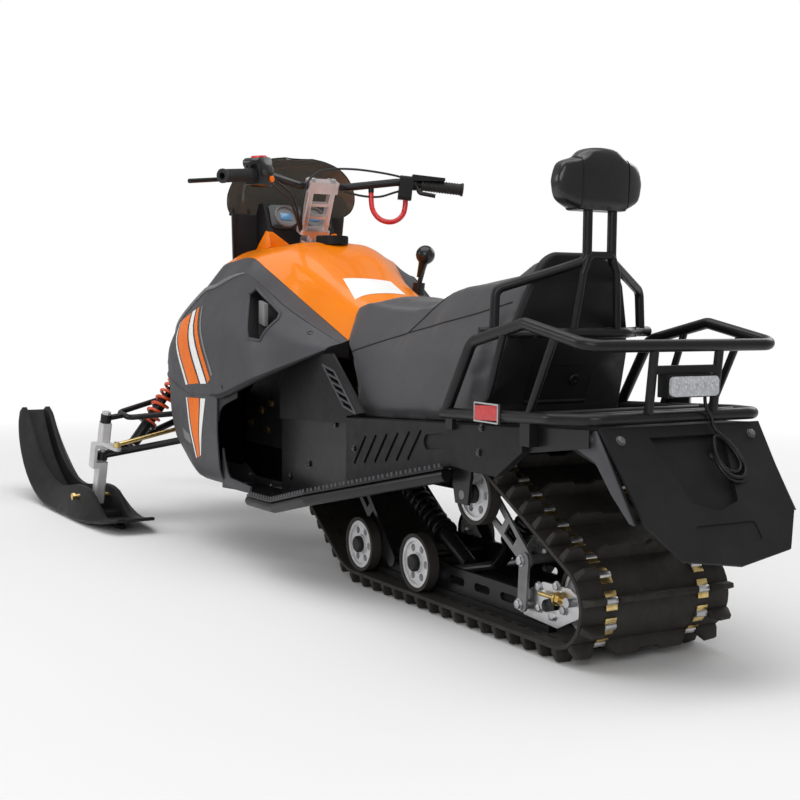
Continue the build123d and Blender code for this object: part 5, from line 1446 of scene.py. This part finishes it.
tankSettings = {
    "sheet": [(1079, 84), (1052, -47), (962, -40), (975, 104)], "lift": 0.0008,
    "finSide": [(1575, 846), (1500, 905), (1484, 899), (1470, 856)], "finY": (0.1085, 0.1135),
    "finRear": [(112, 856), (112, 902), (98, 902), (40, 864), (40, 856)], "finX": (1485, 1491),
    "finEdge": 0.0015,
    "cap": (1302, 0, 862.3), "capRadius": 44, "ribs": 28, "ribHeights": (0, 0.018), "ribFoot": 0.003,
    "rib": [(-0.002, -0.002), (0.0016, -0.0014), (0.0016, 0.0014), (-0.002, 0.002)],
    "shadeApron": [(140, 560), (140, 612), (102, 676), (50, 699), (-50, 699), (-102, 676), (-140, 612),
              (-140, 560)],
    "shadeApronX": (938, 941),
}


def makeTankTrim(s):
    tree = treeOf(tankCover)

    def onTank(x, y):
        hit, normal, _, _ = tree.ray_cast(fromAxle(x, y, 1200), Vector((0, 0, -1)))
        return hit + normal * s["lift"]

    dress(bare("blankSheet", *skin(patchRows(s["sheet"], (12, 16), onTank))), "whiteVinyl")
    side = prismShape(s["finSide"], *s["finY"], sidePlace)
    rear = prismShape(s["finRear"], *s["finX"], crossPlace)
    addPiece("dashCollar", bothSides(together(side, rear)), "orangeGloss", bevel=s["finEdge"])
    # a near-black sheet of painted shade across the hollow under the tank's rear
    addPiece("tankApron", prismShape(s["shadeApron"], *s["shadeApronX"], crossPlace), "paintedShadeBlack")
    spots = []
    for c, d in turnSteps(s["ribs"]):
        out = Vector((c, d, 0))
        place = fromAxle(*s["cap"]) + out * s["capRadius"] / 1000 + Vector((0, 0, s["ribFoot"]))
        spots.append((place, aimed((0, 0, 1), out)))
    repeatPiece("capRibs", spots, prismShape(s["rib"], *s["ribHeights"], flatPlace), "blackMoulding")


makeTankTrim(tankSettings)

barSettings = {
    "grip": (1206, 375, 1027), "inward": (0.449, -0.888, 0.099), "rings": [10 + 8 * k for k in range(13)],
    "ringRadius": 16.6, "ringWire": 1.3,
    "block": 122, "rear": (-0.892, -0.451, 0), "blockDeep": 27,
    "housing": [(2, -26), (50, -34), (66, -24), (66, 14), (60, 24), (60, 40), (52, 46), (6, 46), (-4, 39),
                (-4, 26), (2, 20)],
    "stop": [(8, 44), (48, 44), (43, 51), (13, 51)], "stopSides": (-8, 22), "dip": (50, -13), "horn": (16, 4),
    "knob": [(0.009, -0.002), (0.009, 0.004), (0.007, 0.006)],
    "clamp": [(1358, -32, 1100), (1358, 32, 1100), (1382, -32, 1100), (1382, 32, 1100)],
    "clampBolt": (0.012, 0.009), "cableRadius": 0.0032, "housingEdge": 0.005, "stopEdge": 0.002,
    "cables": [
        [(1286, 206, 1028), (1304, 172, 1012), (1330, 128, 990), (1356, 92, 955), (1388, 64, 920),
         (1415, 44, 902)],
        [(1284, 208, 1042), (1308, 160, 1024), (1336, 112, 1000), (1362, 82, 962), (1392, 60, 930),
         (1417, 40, 906)],
        [(1280, -224, 1056), (1292, -204, 1064), (1316, -150, 1074), (1338, -92, 1080), (1346, -30, 1078),
         (1342, 24, 1066), (1340, 58, 1036), (1352, 66, 985), (1384, 56, 935), (1412, 42, 908)],
        [(1282, -222, 1024), (1294, -202, 1018), (1316, -160, 1004), (1338, -112, 1006), (1356, -66, 1018)],
    ],
}


def alongBar(s, distance):
    return fromAxle(*s["grip"]) + Vector(s["inward"]) * (distance / 1000)


def makeBarTrim(s):
    inward, rear = Vector(s["inward"]), Vector(s["rear"])
    ring = [Vector((c, d, 0)) * s["ringRadius"] / 1000 for c, d in turnSteps(20)]
    ringShape = tubeShape(ring, s["ringWire"] / 1000, 6, closed=True)
    spots = mirrored([(alongBar(s, distance), inward) for distance in s["rings"]])
    repeatPiece("gripRings", aimedAll(spots), ringShape, "gripRubber", "steering")
    up = inward.cross(rear)
    up = up if up.z > 0 else -up
    foot, deep = alongBar(s, s["block"]), s["blockDeep"]

    def onBlock(a, b, h):  # along the bar, up and to the rear of it, in millimetres
        return foot + (inward * a + up * b + rear * h) / 1000

    housing = prismShape(s["housing"], -deep, deep, onBlock)
    addPiece("switchHousing", housing, "blackGloss", "steering", bevel=s["housingEdge"])
    stop = prismShape(s["stop"], *s["stopSides"], onBlock)
    addPiece("stopButton", stop, "redCord", "steering", bevel=s["stopEdge"])
    for name, key, finish in (("dipSwitch", "dip", "orangeVinyl"), ("hornButton", "horn", "gripRubber")):
        addPiece(name, latheShape(s["knob"], onBlock(*s[key], deep), rear, 20), finish, "steering")
    clamp = spotsOn(nodeTree("riser"), s["clamp"], (0, 0, -1))
    repeatPiece("clampBolts", aimedAll(clamp), hexHead(*s["clampBolt"]), "steel", "steering")
    lines = [spline([fromAxle(*place) for place in line], 6) for line in s["cables"]]
    cables = [tubeShape(line, s["cableRadius"], 8) for line in lines]
    addPiece("barCables", together(*cables), "gripRubber", "steering")


makeBarTrim(barSettings)

dashSettings = {
    "middle": (1512, 0, 945), "up": (0.447, 0, 0.894), "out": (-0.894, 0, 0.447),
    "pod": (96, 41), "podHeights": (-1, 6), "podEdge": 0.003, "cutWide": 0.9, "cutTall": 0.8,
    "dialSide": 46, "dialHeight": 5,
    "ring": [(0.036, 0), (0.036, 0.006), (0.033, 0.009), (0.030, 0.006), (0.030, 0.001), (0, 0.001)],
    "screen": (17, 11), "screenHeights": (1, 3), "screenEdge": 0.0008,
}


def makeDash(s):
    middle, up, out = fromAxle(*s["middle"]), Vector(s["up"]), Vector(s["out"])
    dial = middle + Vector((0, s["dialSide"] / 1000, 0)) + out * s["dialHeight"] / 1000

    def around(place):  # across, up and out from the place, in millimetres
        return lambda a, b, h: place + Vector((0, a, 0)) / 1000 + (up * b + out * h) / 1000

    wide, tall = s["pod"]
    cutWide, cutTall = wide * s["cutWide"], tall * s["cutTall"]
    right = [(cutWide, -tall), (wide, -cutTall), (wide, cutTall), (cutWide, tall)]
    outline = right + [(-a, -b) for a, b in right]
    pod = prismShape(outline, *s["podHeights"], around(middle))
    addPiece("dashPod", pod, "blackGloss", bevel=s["podEdge"])
    addPiece("dialRings", bothSides(latheShape(s["ring"], dial, out, 32)), "paleGrey")
    wide, tall = s["screen"]
    glow = prismShape(boxOutline(-wide, -tall, wide, tall), *s["screenHeights"], around(dial))
    addPiece("dialScreens", bothSides(glow), "blueScreen", bevel=s["screenEdge"])


makeDash(dashSettings)
print("tank, bar and dash dressed")

rivetSettings = {
    "floor": [(1592, 195), (1562, 134), (1387, 228), (1355, 163)], "lookFrom": 320, "rivet": (0.007, 0.003),
    "plugs": [(1004, 623), (1290, 470)], "plug": (0.008, 0.002),
}


def makeRivets(s):
    floor = spotsOn(bellyTree, [(x, y, s["lookFrom"]) for x, y in s["floor"]], (0, 0, -1))
    repeatPiece("floorRivets", aimedAll(mirrored(floor)), domeHead(*s["rivet"]), "bareAluminium")
    plugs = [onSide(sideTree, x, z) for x, z in s["plugs"]]
    plugs = [(place, axis) for place, axis in plugs if place is not None]
    repeatPiece("panelPlugs", aimedAll(mirrored(plugs)), domeHead(*s["plug"]), "blackGloss")


makeRivets(rivetSettings)

rearSettings = {
    "lights": 5, "lightRadius": 0.0055, "border": 0.003, "borderDepths": (-0.004, 0.0008),
    "backDepths": (-0.007, -0.0035), "latch": (243.4, -38, 542.3), "latchOut": (-0.93, 0, -0.37),
    "latchPlate": [(0.013, -0.001), (0.013, 0.003), (0.011, 0.005), (0.006, 0.005), (0.005, 0.003)],
}


def makeRearTrim(s):
    low, high = (Vector(c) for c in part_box("tail_lens"))
    spots = []
    for k in range(s["lights"]):
        y = low.y + (high.y - low.y) * (k + 0.7) / (s["lights"] + 0.4)
        spots.append((Vector((low.x, y, (low.z + high.z) / 2)), aimed((-1, 0, 0))))
    radius = s["lightRadius"]
    dot = latheShape([(radius, -0.001), (radius, 0.0006), (radius * 0.6, 0.0022)], sides=16)
    repeatPiece("tailLights", spots, dot, "bareAluminium")

    low, high = (Vector(c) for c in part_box("reflectors"))
    rear, foot, front, top = low.x, low.z, high.x, high.z
    outRear, outFoot = rear - s["border"], foot - s["border"]
    outFront, outTop = front + s["border"], top + s["border"]

    def plate(corners, depths):
        near, far = (high.y + depth for depth in depths)
        return prismShape(boxOutline(*corners), near, far, uprightPlace)

    bars = [(outRear, outFoot, outFront, foot), (outRear, top, outFront, outTop),
            (outRear, foot, rear, top), (front, foot, outFront, top)]
    borders = together(*[plate(corners, s["borderDepths"]) for corners in bars])
    addPiece("reflectorBorders", bothSides(borders), "bareAluminium")
    back = plate((outRear, outFoot, outFront, outTop), s["backDepths"])
    addPiece("reflectorBacks", bothSides(back), "blackMoulding")

    out = Vector(s["latchOut"]).normalized()
    latch = latheShape(s["latchPlate"], fromAxle(*s["latch"]), out)
    addPiece("doorLatch", latch, "blackGloss", "box_door_body")


makeRearTrim(rearSettings)

flapArmSettings = {
    "outline": [(-20, 465), (-138, 473), (-177, 418), (-222, 352), (-250, 312), (-236, 314), (-184, 360),
                (-136, 414), (-74, 436), (-20, 442)],
    "sides": (0.2005, 0.2045), "edge": 0.0015, "bolts": [(-36, 455), (-120, 456)], "head": (0.014, 0.006),
}


def makeFlapArms(s):
    arm = prismShape(s["outline"], *s["sides"], sidePlace)
    addPiece("flapArms", bothSides(arm), "greyMoulding", bevel=s["edge"])
    bolts = mirrored([(fromAxle(x, s["sides"][1] * 1000, z), Vector((0, 1, 0))) for x, z in s["bolts"]])
    repeatPiece("flapArmBolts", aimedAll(bolts), hexHead(*s["head"]), "armGrey")


makeFlapArms(flapArmSettings)

ladderSettings = {"slot": (792, 452), "step": (22, 19), "ends": (-0.6, 4.6), "rungs": 6, "reach": 31,
                  "lean": 12, "radius": 0.003}


def makeWellLadders(s):
    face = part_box("foot_wells")[1][1]
    ahead = Vector((cos(radians(s["lean"])), 0, sin(radians(s["lean"]))))

    def beside(number, share):  # a place by the slots: number down the row, share of the slot's half length
        x, z = (s["slot"][k] + s["step"][k] * number for k in (0, 1))
        place = fromAxle(x, 0, z) + ahead * (s["reach"] * share / 1000)
        return Vector((place.x, face, place.z))

    lines = [[beside(number, share) for number in s["ends"]] for share in (-1, 1)]
    lines += [[beside(k - 0.5, share) for share in (-1, 1)] for k in range(s["rungs"])]
    bars = [tubeShape(line, s["radius"], 8) for line in lines]
    addPiece("wellLadders", bothSides(together(*bars)), "greyMoulding")


makeWellLadders(ladderSettings)

knobSettings = {"place": (1172, -229, 836), "axis": (-15, -14, 76), "radius": 27,
                "neck": [(7.6, -66), (8.5, -60), (13, -24)]}


def makeLeverKnob(s):
    ball = [(s["radius"] * cos(radians(a)), s["radius"] * sin(radians(a))) for a in range(-60, 91, 10)]
    profile = [(r / 1000, h / 1000) for r, h in s["neck"] + ball]
    addPiece("leverKnob", latheShape(profile, fromAxle(*s["place"]), s["axis"], 28), "blackGloss")


makeLeverKnob(knobSettings)

skiBoltSettings = {"place": (2092, 425, 75), "from": -72, "to": 86, "radius": 8, "across": 24, "head": 9}


def makeSkiBolts(s):
    middle = fromAxle(*s["place"])
    ends = [middle + Vector((0, s[k] / 1000, 0)) for k in ("from", "to")]
    shapes = [tubeShape(ends, s["radius"] / 1000, 16)]
    corner, reach = s["across"] / 2000, s["head"] / 1000
    for end, axis in zip(ends, ((0, -1, 0), (0, 1, 0))):
        shapes.append(latheShape([(corner, -reach), (corner, 0), (s["across"] / 2600, 0.001)], end, axis, 6))
    left = together(*shapes)
    addPiece("skiBoltLeft", left, "goldZinc", "ski_left_body")
    addPiece("skiBoltRight", mirrorShape(left), "goldZinc", "ski_right_body")


makeSkiBolts(skiBoltSettings)
print("rear and ski trim made")


stageSettings = {
    "floorSize": 40, "floorColour": 0.86, "floorRough": 0.85, "floorSpecular": 0.2,
    "fadeFrom": 1.6, "fadeTo": 4.2, "world": 0.42,
    "lamps": [  # name, place, aim, size, watts
        ("overhead", (-0.4, 0.5, 4.2), (0, 0, 0.4), (5.0, 4.0), 125),
        ("cameraSide", (-4.2, 3.4, 2.4), (0, 0, 0.5), (2.6, 2.2), 60),
        ("leftSide", (2.2, 4.2, 2.2), (0.6, 0, 0.5), (2.4, 2.0), 40),
        ("farSide", (0.5, -4.0, 2.8), (0, 0, 0.6), (2.6, 2.0), 40),
    ],
}


def lightPathMask(nodes, links):
    path = nodes.new("ShaderNodeLightPath")
    seen = addNode(nodes, "ShaderNodeMath", operation="MAXIMUM")
    links.new(path.outputs["Is Camera Ray"], seen.inputs[0])
    links.new(path.outputs["Is Transmission Ray"], seen.inputs[1])
    return seen.outputs[0]


def makeStage(s):
    bpy.ops.mesh.primitive_plane_add(size=s["floorSize"])
    floor = bpy.context.object
    floor.name = "floor"
    mat, nodes, links, shader = newMaterial("floorPaper")
    setInputs(shader, {"Base Color": (*grey(s["floorColour"]), 1), "Roughness": s["floorRough"],
                       "Specular IOR Level": s["floorSpecular"]})
    coords = nodes.new("ShaderNodeTexCoord")
    reach = addNode(nodes, "ShaderNodeVectorMath", operation="LENGTH")
    links.new(coords.outputs["Object"], reach.inputs[0])
    fade = addNode(nodes, "ShaderNodeMapRange")
    setInputs(fade, {"From Min": s["fadeFrom"], "From Max": s["fadeTo"]})
    links.new(reach.outputs["Value"], fade.inputs["Value"])
    shown = addNode(nodes, "ShaderNodeMath", operation="MULTIPLY")
    links.new(fade.outputs["Result"], shown.inputs[0])
    links.new(lightPathMask(nodes, links), shown.inputs[1])
    white = addNode(nodes, "ShaderNodeEmission")
    white.inputs["Color"].default_value = (1, 1, 1, 1)
    mix = nodes.new("ShaderNodeMixShader")
    links.new(shown.outputs[0], mix.inputs["Fac"])
    links.new(shader.outputs[0], mix.inputs[1])
    links.new(white.outputs[0], mix.inputs[2])
    links.new(mix.outputs[0], nodes["Material Output"].inputs["Surface"])
    floor.data.materials.append(mat)

    world = bpy.data.worlds.new("studio")
    bpy.context.scene.world = world
    world.use_nodes = True
    nodes, links = world.node_tree.nodes, world.node_tree.links
    strength = addNode(nodes, "ShaderNodeMapRange")
    setInputs(strength, {"To Min": s["world"], "To Max": 1})
    links.new(lightPathMask(nodes, links), strength.inputs["Value"])
    links.new(strength.outputs["Result"], nodes["Background"].inputs["Strength"])
    nodes["Background"].inputs["Color"].default_value = (1, 1, 1, 1)

    for name, place, aim, size, watts in s["lamps"]:
        data = bpy.data.lights.new(name, "AREA")
        data.shape = "RECTANGLE"
        data.size, data.size_y = size
        data.energy = watts
        lamp = bpy.data.objects.new(name, data)
        bpy.context.scene.collection.objects.link(lamp)
        lamp.location = place
        lamp.rotation_euler = (Vector(aim) - Vector(place)).to_track_quat("-Z", "Y").to_euler()


makeStage(stageSettings)
bpy.context.scene.view_settings.view_transform = "Standard"
print("floor and lamps set")
